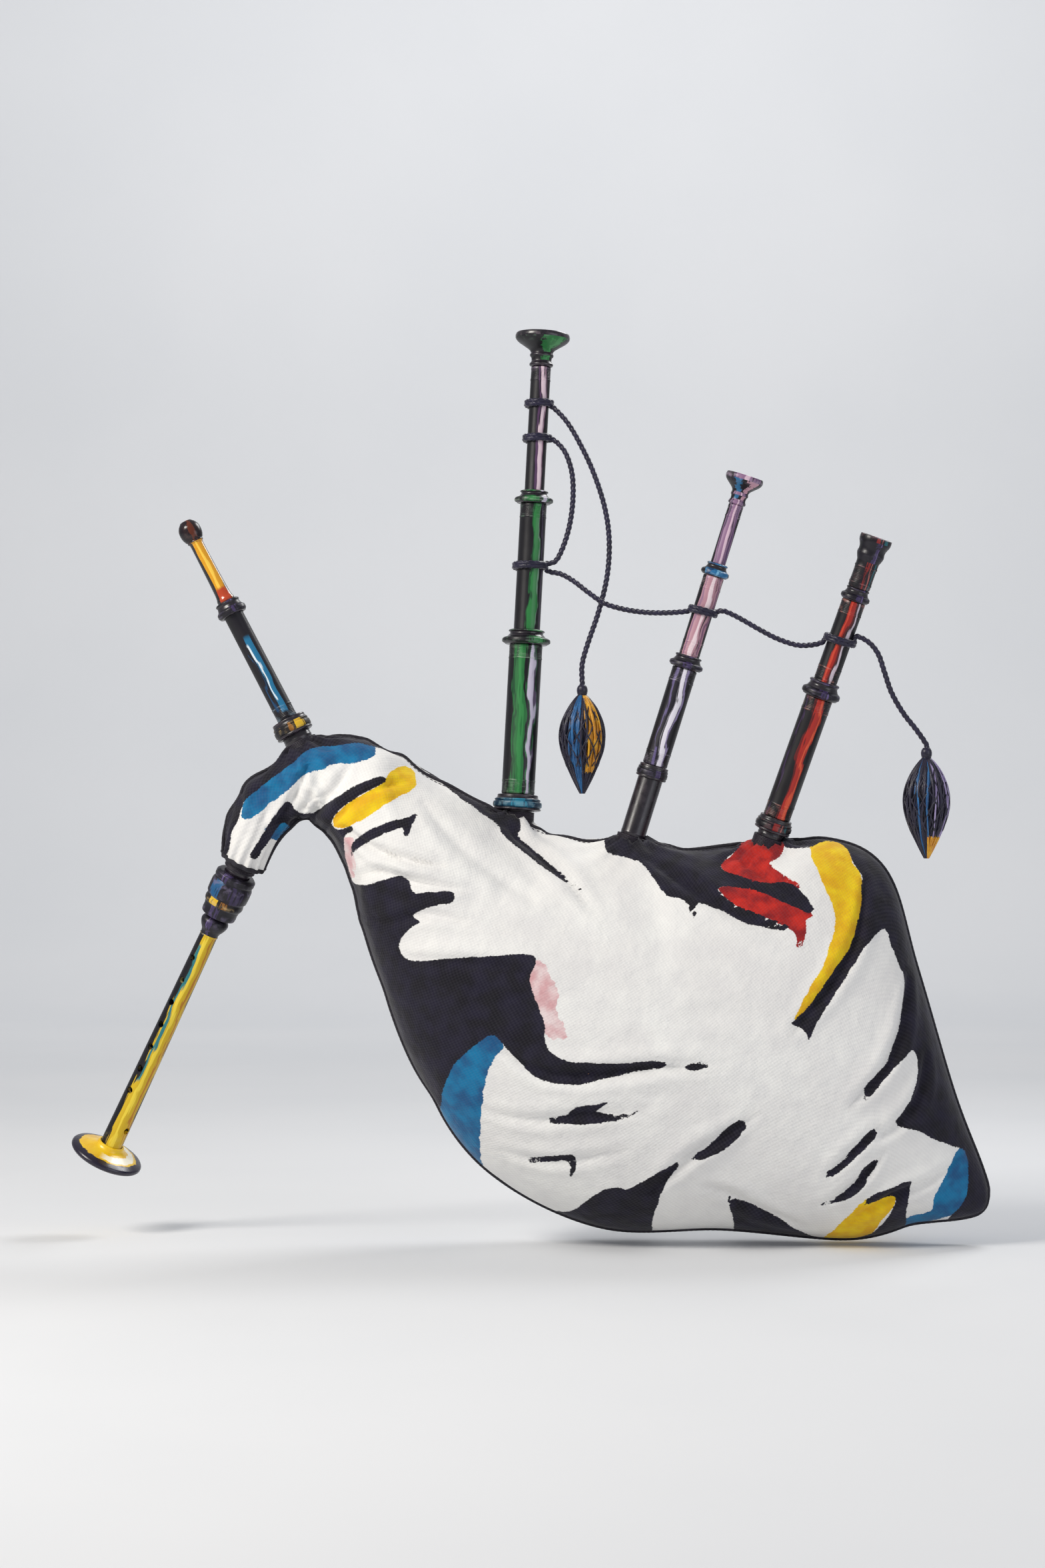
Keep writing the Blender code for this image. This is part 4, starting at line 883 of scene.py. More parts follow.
def make_bass():
    """The bass drone: three joints with their mounts, and the bell."""
    foot, pin_head, bore, outer = measured("bass_bottom_joint")
    stock_head, stock_bore = measured("bass_stock")[1:3]
    tenon = stock_bore - TENON_GAP
    shoulder = stock_head + 0.3 * MM
    middle_foot, middle_pin_head = measured("bass_middle_joint")[:2]
    middle_wide = radius_near("bass_middle_joint", middle_foot)
    head = middle_foot - 0.3 * MM
    outline = [
        *hemped(tenon, foot, shoulder), *zoned(barrel(shoulder, head, outer), 0),
        *hemped(BASS_PIN, head, pin_head), *reed_seat(bore, foot, pin_head),
    ]
    lathed("bass_bottom_joint", "green_lacquer", outline, ["green", "hemp"], "bag")

    top_foot, top_head, _, top_wide = measured("bass_top_joint")
    head = top_foot - 0.3 * MM
    outline = [
        *zoned(barrel(middle_foot, head, middle_wide), 0), *hemped(BASS_TOP_PIN, head, middle_pin_head),
        *socketed(bore, middle_pin_head, middle_foot, BASS_PIN, pin_head),
    ]
    lathed("bass_middle_joint", "green_lacquer", outline, ["black_green", "hemp"], "bass_middle")
    make_mount("bass_middle_mount", "bass_middle", ("blackwood", "green_bell"), "blackwood")

    outline = zoned(barrel(top_foot, top_head, top_wide), 0)
    outline += socketed(bore, top_head, top_foot, BASS_TOP_PIN, middle_pin_head)
    lathed("bass_top_joint", "violet_lacquer", outline, ["aubergine"], "bass_top")
    make_mount("bass_top_mount", "bass_top", ("blackwood", "green"), "green_lacquer")
    make_bell("bass_bell", top_wide, "bass_top", ("blackwood", "green_bell"), "blackwood", 16 * MM)


def make_bell(node, neck, body, finishes, slot, cup):
    """A drone's bell: beads on its neck, a flared cup with a rolled rim, and a deep bore."""
    low, high, bore, rim = measured(node)
    proud = rim - neck
    flare = flowing([(0.06, 0.42), (0.16, 0.50), (0.44, 0.60), (0.80, 0.72), (0.95, 0.80)])
    outline = along(low, high, neck, proud, [
        (0.0, 0.0, 0), (0.10, 0.03, 0), (0.12, 0.08, 0), (0.04, 0.13, 0), (0.0, 0.18, 1), (0.02, 0.27, 1),
        (0.10, 0.31, 0), (0.12, 0.35, 0), (0.08, 0.39, 0), *zoned(flare, 1),
        (0.99, 0.84, 0), (1.0, 0.90, 0), (0.96, 0.97, 0), (0.90, 1.0, 0),
    ])
    lip = rim - 3.6 * MM
    inside = flowing([
        (lip, high - 0.6 * MM), (lip * 0.90, high - 0.30 * cup), (lip * 0.66, high - 0.62 * cup),
        (lip * 0.36, high - 0.86 * cup), (bore, high - 1.05 * cup),
    ])
    lathed(node, slot, [*outline, *zoned(inside, 1), (bore, low, 0)], finishes, body)


def make_tenor(drone, pin, finishes, slots):
    """A tenor drone: its long bottom joint with a collar mount, its top joint and its mount."""
    body_finish, waist_finish, low_mount, mount, top_finish = finishes
    foot, pin_head, bore, outer = measured(drone + "_bottom_joint")
    stock_head, stock_bore = measured(drone + "_stock")[1:3]
    shoulder = stock_head + 0.3 * MM
    mount_foot, mount_head, waist = measured(drone + "_collar_mount")[:3]
    waist -= 0.3 * MM
    top_foot, top_head, _, top_wide = measured(drone + "_top_joint")
    head = top_foot - 0.3 * MM
    outline = [
        *hemped(stock_bore - TENON_GAP, foot, shoulder),
        *zoned(barrel(shoulder, mount_foot - 0.3 * MM, outer), 0),
        (waist, mount_foot - 0.3 * MM, 2), (waist, mount_head, 2),
        *zoned(barrel(mount_head + 1 * MM, head, waist), 2),
        *hemped(pin, head, pin_head), *reed_seat(bore, foot, pin_head),
    ]
    lathed(drone + "_bottom_joint", slots[0], outline,
           [body_finish, "hemp", waist_finish], "bag")
    make_mount(drone + "_collar_mount", "bag", low_mount, "blackwood")
    body = drone + "_top"
    outline = zoned(barrel(top_foot, top_head, top_wide), 0)
    outline += socketed(bore, top_head, top_foot, pin, pin_head)
    lathed(drone + "_top_joint", slots[1], outline, [top_finish], body)
    make_mount(drone + "_top_mount", body, mount, slots[2])
    return top_wide


def make_cap():
    """The outer tenor's cap: a sleeve over its top joint with a ringed neck and a flared head."""
    low, high, inner, rim = measured("outer_tenor_bell")
    wall = 1.9 * MM
    sleeve = inner + wall
    proud = rim - sleeve
    neck = low + 0.46 * (high - low)
    flare = flowing([(0.02, 0.10), (0.34, 0.24), (0.52, 0.36), (0.42, 0.48), (0.50, 0.60), (0.90, 0.76)])
    outline = [(sleeve - 0.3 * MM, low, 0), (sleeve, low + 1 * MM, 0)]
    outline += zoned(bead(sleeve, low + 4 * MM, 2.2 * MM, 0.5 * MM), 0)
    outline += zoned(combing(sleeve, low + 9 * MM, neck - 6 * MM), 0)
    outline += zoned(bead(sleeve, neck - 4 * MM, 2.4 * MM, 0.6 * MM), 0)
    outline += along(neck, high, sleeve, proud, [
        *zoned(flare, 1), (0.99, 0.84, 0), (1.0, 0.92, 0), (0.94, 1.0, 0),
    ])
    joint_head = measured("outer_tenor_top_joint")[1]
    cup_foot = max(joint_head + 0.4 * MM, high - 12 * MM)
    lip = rim - 3.0 * MM
    outline += [(lip, high - 0.5 * MM, 1), (lip * 0.86, high - 4 * MM, 1), (inner, cup_foot + 1.5 * MM, 1),
                (inner, cup_foot, 0), (inner, low, 0)]
    lathed("outer_tenor_bell", "blackwood", outline, ["oxblood", "purple_black"], "outer_tenor_top",
           "outer_tenor_cap_turned")


def make_blowpipe():
    """The blowpipe's tube and mount, and the amber mouthpiece."""
    foot, head, bore, _ = measured("blowpipe_tube")
    shoulder = measured("blowpipe_stock")[1] + 0.3 * MM
    wide = radius_near("blowpipe_tube", shoulder + 0.3 * MM)
    mouth_foot = measured("mouthpiece")[0]
    socket = MOUTH_TENON + 0.3 * MM
    tenon = radius_near("blowpipe_tube", foot)
    outline = [
        *hemped(tenon, foot, shoulder), *zoned(barrel(shoulder, head, wide, wide * 0.96), 0),
        (socket, head, 0), (socket, mouth_foot - 0.3 * MM, 0), (bore, mouth_foot - 0.3 * MM, 0),
        (bore, foot, 0),
    ]
    lathed("blowpipe_tube", "blue_lacquer", outline, ["deep_blue", "hemp"], "blowpipe")
    make_mount("blowpipe_mount", "blowpipe", ("blackwood", "purple_black"), "blackwood")

    foot, tip, bore, bulb = measured("mouthpiece")
    stem_foot = head + 0.3 * MM
    stem = flowing([(0.80, 0.035), (0.70, 0.08), (0.655, 0.20), (0.62, 0.45), (0.60, 0.68), (0.62, 0.735)])
    knob = flowing([(0.80, 0.775), (0.95, 0.82), (1.0, 0.87), (0.96, 0.92), (0.80, 0.96), (0.62, 0.985)])
    outline = [(MOUTH_TENON, foot, 0), (MOUTH_TENON, stem_foot, 0), (0.80 * bulb, stem_foot, 0)]
    outline += along(head, tip, 0.0, bulb, [
        *zoned(stem, 0), (0.72, 0.745, 1), (0.74, 0.755, 1), (0.70, 0.765, 1),
        *zoned(knob, 1), (0.50, 1.0, 1),
    ])
    outline += [(bore + 0.8 * MM, tip, 1), (bore, tip - 1.5 * MM, 1), (bore, foot, 0)]
    lathed("mouthpiece", "amber", outline, ["amber", "tip"], "blowpipe")


HOLE_RADIUS = 3.0 * MM
HOLE_COUNT = 7
HOLE_FIRST, HOLE_STEP = 30 * MM, 27.5 * MM  # heights above the chanter's bulb
SOUND_HOLE = 240 * MM
FINGER_SIDE = Vector((-0.583, -0.811, 0.050))  # the way the finger holes face


def hole_cutter(line, height, towards):
    """A cutter for a hole square to a pipe's line, countersunk at the surface of the pipe."""
    surface = 10.5 * MM
    throat, mouth = HOLE_RADIUS * 0.92, HOLE_RADIUS * 1.45
    shape = [(0.0, 0.0), (throat, 0.0), (throat, surface - 2.6 * MM), (mouth, surface + 2 * MM),
             (0.0, surface + 2 * MM)]
    inverse = line.to_3x3().inverted()
    out = inverse @ towards
    out.z = 0.0
    across = Vector((0, 0, 1)).cross(out.normalized())
    turn = Matrix((across, Vector((0, 0, 1)), out.normalized())).transposed().to_4x4()
    place = line @ Matrix.Translation((0, 0, height)) @ turn
    made = turned("hole_cutter", shape, place, ["chanter_yellow"], None, 28, 0.0)
    made.hide_render = True
    return made


def make_chanter():
    """The chanter: tenon, bulb and long cone with its holes, and the sole at its foot."""
    line = LINES["chanter"]
    foot, head = measured("chanter_body")[:2]
    shoulder = measured("chanter_stock")[1] + 0.3 * MM
    tenon = radius_near("chanter_body", foot)
    bulb_head = shoulder + 22 * MM
    end = radius_near("chanter_body", head)
    top = radius_near("chanter_body", bulb_head)
    bulb = flowing([(0.98, 0.06), (1.42, 0.20), (1.58, 0.38), (1.40, 0.62), (1.10, 0.84), (1.0, 1.0)])
    cone = [(top + (end - top) * t, bulb_head + (head - bulb_head) * t) for t in (0.04, 0.3, 0.6, 0.9)]
    outline = [
        *hemped(tenon, foot, shoulder), (top * 0.95, shoulder, 2),
        *zoned(along(shoulder, bulb_head, 0.0, top, bulb), 2),
        *zoned(bead(top, bulb_head + 0.5 * MM, 2.0 * MM, 0.5 * MM), 0),
        *zoned(cone, 0), (end, head, 0), (6.8 * MM, head, 0),
        (3.1 * MM, shoulder + 20 * MM, 0), (2.9 * MM, foot, 0),
    ]
    made = turned("chanter_body_turned", outline, line, ["chanter_yellow", "hemp", "purple_black"], None)
    sideways = FINGER_SIDE.cross(Vector(line.col[2][:3]))
    places = [(HOLE_FIRST + i * HOLE_STEP, FINGER_SIDE) for i in range(HOLE_COUNT)]
    places += [(HOLE_FIRST - 0.5 * HOLE_STEP, -FINGER_SIDE), (SOUND_HOLE, sideways), (SOUND_HOLE, -sideways)]
    cutters = [hole_cutter(line, bulb_head + height, towards) for height, towards in places]
    with bpy.context.temp_override(active_object=cutters[0], selected_editable_objects=cutters):
        bpy.ops.object.join()
    cut = made.modifiers.new("holes", "BOOLEAN")
    cut.object = cutters[0]
    cut.operation = "DIFFERENCE"
    cut.solver = "EXACT"
    applied(made)
    bpy.data.objects.remove(cutters[0])
    made.data.set_sharp_from_angle(angle=radians(35))
    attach(made, "chanter")
    named(made, "yellow_lacquer", "chanter_body")

    low, high, inner, rim = measured("chanter_sole")
    thick = high - low
    slot = inner if inner > end else end + 0.4 * MM
    collar = flowing([
        (14.6 * MM, 0.05), (15.2 * MM, 0.16), (17.5 * MM, 0.30), (25 * MM, 0.44), (34 * MM, 0.56),
    ])
    outline = [(slot + 1.2 * MM, low)]
    outline += [(radius, low + thick * share) for radius, share in [
        *collar, (rim - 1.2 * MM, 0.66), (rim, 0.75), (rim, 0.88)]]
    outline += [(radius, high - down * MM) for radius, down in (
        (rim - 1.5 * MM, 0.3), (rim - 3.4 * MM, 0), (rim - 4.6 * MM, 0.9), (rim - 8 * MM, 1.1),
        (13 * MM, 0.5), (11 * MM, 0), (8.6 * MM, 0.2), (8.0 * MM, 1.2))]
    outline += [(8.0 * MM, low + 0.6 * thick), (slot, low + 0.6 * thick), (slot, low)]
    lathed("chanter_sole", "yellow_lacquer", outline, ["sole"], "chanter", around=96)


def applied(obj):
    """The object with its modifiers applied to its mesh."""
    graph = bpy.context.evaluated_depsgraph_get()
    mesh = bpy.data.meshes.new_from_object(
        obj.evaluated_get(graph), preserve_all_data_layers=True, depsgraph=graph
    )
    obj.modifiers.clear()
    obj.data = mesh
    return obj


def make_valve():
    """The valve's leather flap: a disc with a domed face."""
    low, high, _, widest = measured("valve_flap")
    radius = widest * 0.97
    outline = [(0.0, low, 0), (radius * 0.5, low + 0.06 * MM, 0), (radius * 0.86, low + 0.22 * MM, 0),
               (radius, low + 0.5 * (high - low), 0), (radius * 0.96, high, 0), (0.0, high, 0)]
    lathed("valve_flap", "rubber", outline, ["hide"], "valve_flap", "valve_flap_leather", around=40,
           ease=0.2 * MM)


def finish_reeds():
    """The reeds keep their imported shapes, which are right, and take cane, rubber and brass."""
    reeds = {drone + "_reed": "cane" for drone in DRONES}
    reeds |= {drone + "_reed_bridle": "rubber" for drone in DRONES}
    reeds |= {"chanter_reed_blade_front": "cane", "chanter_reed_blade_back": "cane"}
    for node, name in (*reeds.items(), ("chanter_reed_staple", "brass")):
        for slot in frame["nodes"][node].material_slots:
            slot.link = "OBJECT"
            slot.material = finish(name)


# ---- the bag
# Each slice, in millimetres: its upper edge (x, z), its lower edge (x, z), half its thickness and how far its
# middle is to +Y.
BAG_SLICES = [
    ((-472, 218), (-422, 190), 25, -7),
    ((-445, 256), (-402, 210), 30, -6),
    ((-370, 296), (-378, 210), 40, 0),
    ((-299, 283), (-354, 158), 54, 0),
    ((-224, 235), (-321, 57), 74, 0),
    ((-141, 197), (-276, -56), 89, 0),
    ((-44, 187), (-206, -154), 98, 0),
    ((53, 183), (-88, -217), 100, 0),
    ((152, 187), (50, -224), 94, 0),
    ((214, 154), (170, -233), 79, 0),
    ((245, 53), (242, -218), 59, 0),
    ((282, -75), (290, -208), 35, 0),
    ((310, -148), (314, -198), 16, 0),
    ((319, -174), (319, -180), 3, 0),
]
NECK_END = (-0.4590, 0.0, 0.1685)
NECK_AXES = ((-0.90631, -0.11649, 0.40625), (0.0, 0.96126, 0.27564))
NECK_RADIUS = 0.0228
BAG_ROUND = 88  # points round each slice
BAG_STEPS = 9  # slices drawn from each one to the next
COVER_WALL, HIDE_GAP, HIDE_WALL = 2.2 * MM, 4.2 * MM, 1.8 * MM

# Folds in the cloth: the line that each follows (x, z), its half width and its depth, in millimetres, and how
# much of it the front and the back show.
FOLDS = (
    ([(-352, 205), (-322, 184), (-286, 172), (-246, 166)], 8, 5.5, 1.0, 0.8),
    ([(-342, 152), (-312, 160), (-280, 150), (-222, 140)], 8, 5.0, 1.0, 0.9),
    ([(-334, 112), (-300, 108), (-262, 116), (-214, 104)], 8, 4.5, 0.9, 1.0),
    ([(-424, 208), (-402, 238), (-386, 276)], 7, 3.2, 1.0, 1.0),
    ([(-395, 208), (-366, 236), (-344, 272)], 8, 3.4, 1.0, 0.8),
    ([(-372, 202), (-330, 238), (-284, 254)], 7, 3.6, 1.0, 0.8),
    ([(-184, 206), (-150, 178), (-118, 150), (-88, 112)], 9, 4.4, 1.0, 0.8),
    ([(-268, 230), (-236, 192), (-196, 158), (-150, 126)], 12, 3.2, 0.9, 1.0),
    ([(-292, 70), (-235, 66), (-178, 60), (-120, 30)], 11, 3.8, 1.0, 0.7),
    ([(-196, -10), (-160, -40), (-110, -50), (-20, -40), (44, -38)], 11, 6.5, 1.0, 0.7),
    ([(-212, -86), (-160, -96), (-100, -90), (-30, -86)], 9, 4.2, 0.9, 1.0),
    ([(-190, -130), (-140, -140), (-100, -136), (-50, -124)], 8, 3.4, 0.9, 1.0),
    ([(-36, 172), (14, 140), (66, 112), (116, 96)], 10, 4.6, 1.0, 0.8),
    ([(52, 176), (90, 152), (130, 124)], 8, 4.0, 1.0, 0.7),
    ([(192, 150), (180, 92), (150, 40), (112, -4)], 10, 5.4, 1.0, 0.8),
    ([(236, 50), (226, -6), (204, -50), (168, -84)], 9, 5.0, 1.0, 0.9),
    ([(254, -30), (246, -72), (220, -104), (186, -122)], 9, 4.2, 1.0, 1.0),
    ([(206, -100), (178, -126), (146, -158)], 7, 4.4, 1.0, 0.8),
    ([(208, -130), (186, -158), (146, -188)], 7, 4.4, 1.0, 0.8),
    ([(290, -140), (256, -164), (216, -180), (176, -206)], 8, 4.2, 1.0, 0.9),
    ([(72, -90), (40, -112), (4, -136), (-36, -176)], 9, 4.8, 1.0, 0.9),
    ([(130, -212), (86, -194), (44, -172), (12, -164)], 8, 3.6, 1.0, 0.9),
    ([(-10, 10), (44, 16), (98, 2)], 14, 2.2, 0.7, 1.0),
)

# Where the dyes lie, as outlines (x, z) of soft-edged patches, in millimetres. The back's are the front's.
# The black patches and the pink one under the shoulder are painted shade.
PATCHES = {
    "blue": [
        # the neck's crown
        [(-460, 214), (-449, 213), (-428, 230), (-405, 247), (-395, 257), (-386, 262), (-374, 264),
         (-361, 271), (-344, 271), (-322, 277), (-319, 290), (-333, 298), (-350, 296), (-369, 294),
         (-389, 289), (-403, 276), (-419, 264), (-444, 245), (-456, 233)],
        # in the crook
        [(-436, 202), (-424, 190), (-406, 206), (-410, 216), (-420, 214)],
        # the belly's moon
        [(-201, -7), (-190, -8), (-184, -20), (-195, -34), (-203, -56), (-207, -81), (-209, -113),
         (-209, -144), (-204, -159), (-209, -168), (-222, -154), (-235, -135), (-248, -112), (-253, -90),
         (-248, -59), (-234, -35), (-216, -18)],
        # the far corner
        [(292, -128), (300, -136), (303, -155), (301, -180), (294, -194), (286, -202), (267, -208),
         (245, -216), (234, -214), (240, -201), (261, -197), (264, -180), (276, -155), (286, -136)],
    ],
    "yellow": [
        # the shoulder
        [(-361, 205), (-362, 210), (-361, 216), (-350, 227), (-333, 238), (-311, 250), (-303, 263),
         (-286, 268), (-278, 261), (-276, 252), (-281, 243), (-306, 229), (-322, 218), (-342, 207),
         (-352, 203)],
        # the crescent by the outer tenor
        [(135, 186), (150, 200), (172, 198), (179, 168), (186, 158), (190, 139), (188, 120), (182, 98),
         (174, 78), (160, 59), (144, 37), (127, 15), (113, 3), (119, 20), (133, 45), (146, 67), (152, 86),
         (158, 104), (157, 120), (149, 139), (142, 158), (136, 173)],
        # the bottom corner
        [(150, -228), (164, -211), (176, -196), (187, -184), (201, -178), (222, -173), (222, -186),
         (212, -202), (200, -224), (190, -246), (160, -250)],
    ],
    "red": [
        # by the outer tenor's foot
        [(64, 200), (90, 212), (110, 200), (105, 175), (91, 168), (97, 161), (109, 153), (123, 145),
         (117, 140), (105, 143), (86, 144), (64, 150), (45, 157), (41, 168), (55, 176)],
        # under the tongue
        [(34, 143), (49, 146), (71, 145), (99, 134), (117, 126), (130, 120), (136, 115), (126, 109),
         (128, 100), (123, 83), (117, 79), (116, 94), (105, 103), (77, 114), (55, 123)],
    ],
    "pink": [
        # beside the belly's shadow
        [(-155, 72), (-140, 64), (-133, 47), (-128, 37), (-130, 19), (-124, 3), (-120, -11), (-130, -13),
         (-146, -6), (-150, 19), (-160, 34), (-160, 59)],
        # under the shoulder: painted shade in pink
        [(-352, 194), (-342, 194), (-340, 170), (-343, 152), (-350, 156)],
    ],
    # painted shade: along the edges, in the crook and in the folds
    "ink_shade": [
        # the crown's edge
        [(-486, 166), (-474, 177), (-470, 199), (-461, 214), (-457, 229), (-444, 242), (-419, 261),
         (-403, 273), (-389, 286), (-369, 289), (-350, 291), (-333, 292), (-306, 284), (-278, 270),
         (-256, 255), (-233, 237), (-211, 221), (-193, 208), (-176, 194), (-168, 212), (-210, 250),
         (-262, 290), (-330, 320), (-400, 315), (-460, 280), (-492, 220)],
        # the crook, the front edge, the belly's shadow and its tail, and the first wedge at the bottom
        [(-451, 174), (-440, 191), (-431, 207), (-414, 229), (-408, 231), (-400, 220), (-383, 220),
         (-361, 235), (-333, 250), (-317, 257), (-307, 256), (-311, 250), (-333, 238), (-350, 227),
         (-361, 216), (-364, 208), (-358, 202), (-342, 206), (-342, 200), (-350, 195), (-351, 177),
         (-346, 154), (-340, 145), (-322, 146), (-297, 154), (-286, 153), (-281, 146), (-278, 137),
         (-264, 138), (-239, 139), (-235, 134), (-239, 127), (-256, 124), (-278, 114), (-269, 107),
         (-278, 103), (-289, 91), (-293, 82), (-289, 72), (-276, 67), (-239, 70), (-195, 73), (-158, 75),
         (-151, 69), (-154, 59), (-158, 50), (-154, 34), (-148, 19), (-142, 3), (-142, -16), (-136, -25),
         (-120, -34), (-95, -36), (-58, -36), (-26, -34), (-15, -37), (-23, -42), (-42, -44), (-70, -50),
         (-95, -56), (-114, -59), (-139, -56), (-154, -50), (-167, -37), (-182, -22), (-192, -9),
         (-201, -9), (-214, -20), (-233, -37), (-245, -59), (-250, -81), (-250, -94), (-245, -109),
         (-233, -131), (-220, -150), (-207, -163), (-182, -179), (-151, -195), (-120, -198), (-104, -188),
         (-89, -175), (-70, -167), (-58, -170), (-39, -159), (-10, -142), (-2, -140), (-15, -159),
         (-24, -181), (-30, -212), (-29, -245), (-100, -265), (-220, -220), (-290, -125), (-330, -20),
         (-350, 60), (-375, 120), (-390, 170), (-395, 188), (-388, 198), (-403, 195), (-408, 199),
         (-411, 206), (-417, 208), (-426, 196), (-435, 184), (-444, 171)],
        # the second wedge
        [(45, -176), (67, -184), (95, -198), (120, -215), (145, -227), (158, -233), (176, -233),
         (178, -252), (100, -256), (54, -246), (57, -218), (52, -196)],
        # round the yellow corner
        [(186, -186), (204, -174), (237, -162), (238, -168), (235, -193), (237, -213), (240, -240),
         (200, -252), (178, -246), (186, -227), (201, -221), (217, -199), (223, -180), (211, -180),
         (192, -187)],
        # by the outer tenor's foot
        [(-78, 206), (-54, 202), (-36, 200), (0, 200), (43, 203), (66, 196), (60, 181), (43, 167),
         (46, 159), (66, 152), (50, 144), (36, 140), (55, 125), (77, 116), (105, 105), (116, 96), (99, 99),
         (68, 105), (46, 116), (27, 124), (13, 127), (14, 112), (8, 113), (3, 129), (-17, 135), (-29, 152),
         (-42, 168), (-58, 173), (-78, 180)],
        # the tongue between the reds
        [(40, 160), (64, 153), (86, 147), (105, 148), (117, 144), (130, 130), (136, 119), (130, 116),
         (117, 122), (99, 130), (71, 141), (49, 143), (36, 150)],
        # round the crescent and down the far edge with its spikes
        [(110, 183), (133, 183), (150, 189), (164, 189), (175, 180), (180, 167), (188, 153), (186, 142),
         (186, 126), (180, 101), (172, 79), (158, 61), (142, 39), (127, 20), (114, 7), (111, 2), (123, -2),
         (130, -15), (134, -2), (150, 25), (169, 53), (189, 82), (207, 99), (213, 95), (217, 83), (224, 64),
         (231, 48), (228, 20), (225, 1), (220, -14), (210, -39), (197, -53), (187, -63), (187, -72),
         (185, -80), (195, -71), (212, -50), (226, -37), (236, -27), (242, -30), (244, -43), (242, -61),
         (236, -77), (226, -92), (220, -103), (242, -109), (258, -117), (286, -129), (298, -136),
         (301, -168), (295, -189), (286, -199), (282, -210), (295, -235), (350, -185), (325, -110),
         (305, -60), (285, 0), (273, 60), (267, 110), (250, 165), (215, 205), (165, 220), (108, 205)],
        # short strokes
        [(8, -134), (26, -123), (45, -104), (59, -95), (65, -102), (55, -115), (39, -129), (14, -139)],
        [(147, -153), (164, -141), (182, -120), (197, -106), (200, -114), (187, -129), (164, -150),
         (151, -158)],
        [(144, -186), (164, -176), (179, -163), (186, -149), (201, -138), (201, -145), (193, -156),
         (187, -169), (170, -181), (150, -187)],
        [(0, -41), (14, -35), (26, -35), (26, -41), (7, -44)],
        [(-138, -94), (-120, -91), (-111, -82), (-95, -80), (-74, -76), (-90, -87), (-60, -89), (-44, -85),
         (-60, -94), (-73, -97), (-98, -100), (-117, -100), (-138, -99)],
        [(-161, -137), (-140, -135), (-120, -132), (-111, -135), (-110, -150), (-114, -161), (-117, -148),
         (-119, -140), (-139, -141), (-158, -143)],
        [(-344, 181), (-339, 191), (-322, 203), (-300, 211), (-283, 215), (-273, 222), (-273, 217),
         (-278, 210), (-284, 195), (-288, 198), (-288, 204), (-306, 199), (-322, 191), (-336, 183),
         (-343, 174)],
        [(-184, 206), (-160, 186), (-130, 161), (-96, 134), (-132, 155), (-164, 179), (-188, 199)],
    ],
}


def bag_slices():
    """The bag's slices, drawn close: each one's middle, its reach to the upper edge and its reach to +Y."""
    rows = [np.array([NECK_END, np.array(NECK_AXES[0]) * NECK_RADIUS, np.array(NECK_AXES[1]) * NECK_RADIUS])]
    for upper, lower, half, aside in BAG_SLICES:
        high, low = (np.array([x, aside, z]) * MM for x, z in (upper, lower))
        rows.append(np.array([(high + low) / 2, (high - low) / 2, (0.0, half * MM, 0.0)]))
    return smooth_through(rows, BAG_STEPS)


def bag_skin(name):
    """The bag's skin as a mesh, open at the neck, with how far along and across the cloth each point is."""
    rows = bag_slices()
    angles = 2 * pi * np.arange(BAG_ROUND) / BAG_ROUND
    points = np.concatenate([
        middle + np.outer(np.cos(angles), up) + np.outer(np.sin(angles), side) for middle, up, side in rows
    ])
    grid = points.reshape(len(rows), BAG_ROUND, 3)
    steps = np.linalg.norm(np.diff(grid, axis=0), axis=2).mean(axis=1)
    warp = np.repeat(np.concatenate([[0], np.cumsum(steps)]), BAG_ROUND) / MM
    half = BAG_ROUND // 2
    runs = np.linalg.norm(np.diff(grid[:, :half + 1], axis=1), axis=2)
    down = np.concatenate([np.zeros((len(rows), 1)), np.cumsum(runs, axis=1)], axis=1) / MM
    weft = np.concatenate([down, down[:, half - 1:0:-1]], axis=1).reshape(-1)
    faces = []
    for i in range(len(rows) - 1):
        low, high = i * BAG_ROUND, (i + 1) * BAG_ROUND
        faces += [(low + k, low + (k + 1) % BAG_ROUND, high + (k + 1) % BAG_ROUND, high + k)
                  for k in range(BAG_ROUND)]
    last = (len(rows) - 1) * BAG_ROUND
    faces.append(tuple(range(last, last + BAG_ROUND)))
    made = piece(name, points, faces, [], hard=0, body=None)
    bm = bmesh.new()
    bm.from_mesh(made.data)
    bmesh.ops.recalc_face_normals(bm, faces=bm.faces)
    if sum(f.calc_area() * f.normal.dot(f.calc_center_median()) for f in bm.faces) < 0:
        bmesh.ops.reverse_faces(bm, faces=bm.faces)
    bm.to_mesh(made.data)
    bm.free()
    for label, values in (("warp_mm", warp), ("weft_mm", weft)):
        field = made.data.attributes.new(label, "FLOAT", "POINT")
        field.data.foreach_set("value", values.astype(np.float32))
    return made


def coordinates(mesh, normals=False):
    """A mesh's points, or its point normals, one row each."""
    found = np.empty(len(mesh.vertices) * 3, np.float32)
    if normals:
        mesh.vertex_normals.foreach_get("vector", found)
    else:
        mesh.vertices.foreach_get("co", found)
    return found.reshape(-1, 3).astype(float)


def move_points(mesh, points):
    """Gives a mesh its points' new places."""
    mesh.vertices.foreach_set("co", points.astype(np.float32).reshape(-1))
    mesh.update()


def from_stock(points, pipe):
    """Each point's distance from a stock's line, its angle round it and its height above the whipping."""
    low, high = measured(pipe + "_stock_whipping")[:2]
    x, y, z = on_line(points, LINES[pipe]).T
    return np.hypot(x, y), np.arctan2(y, x), z - (low + high) / 2


DRONES = ("bass", "middle_tenor", "outer_tenor")
BAG_STOCKS = (*DRONES, "blowpipe")
AT_THE_TIE = 50 * MM  # how far up and down a stock's line the cloth belongs to its tie
TIED_RADIUS = 32 * MM  # how far from a stock's line the cloth is held


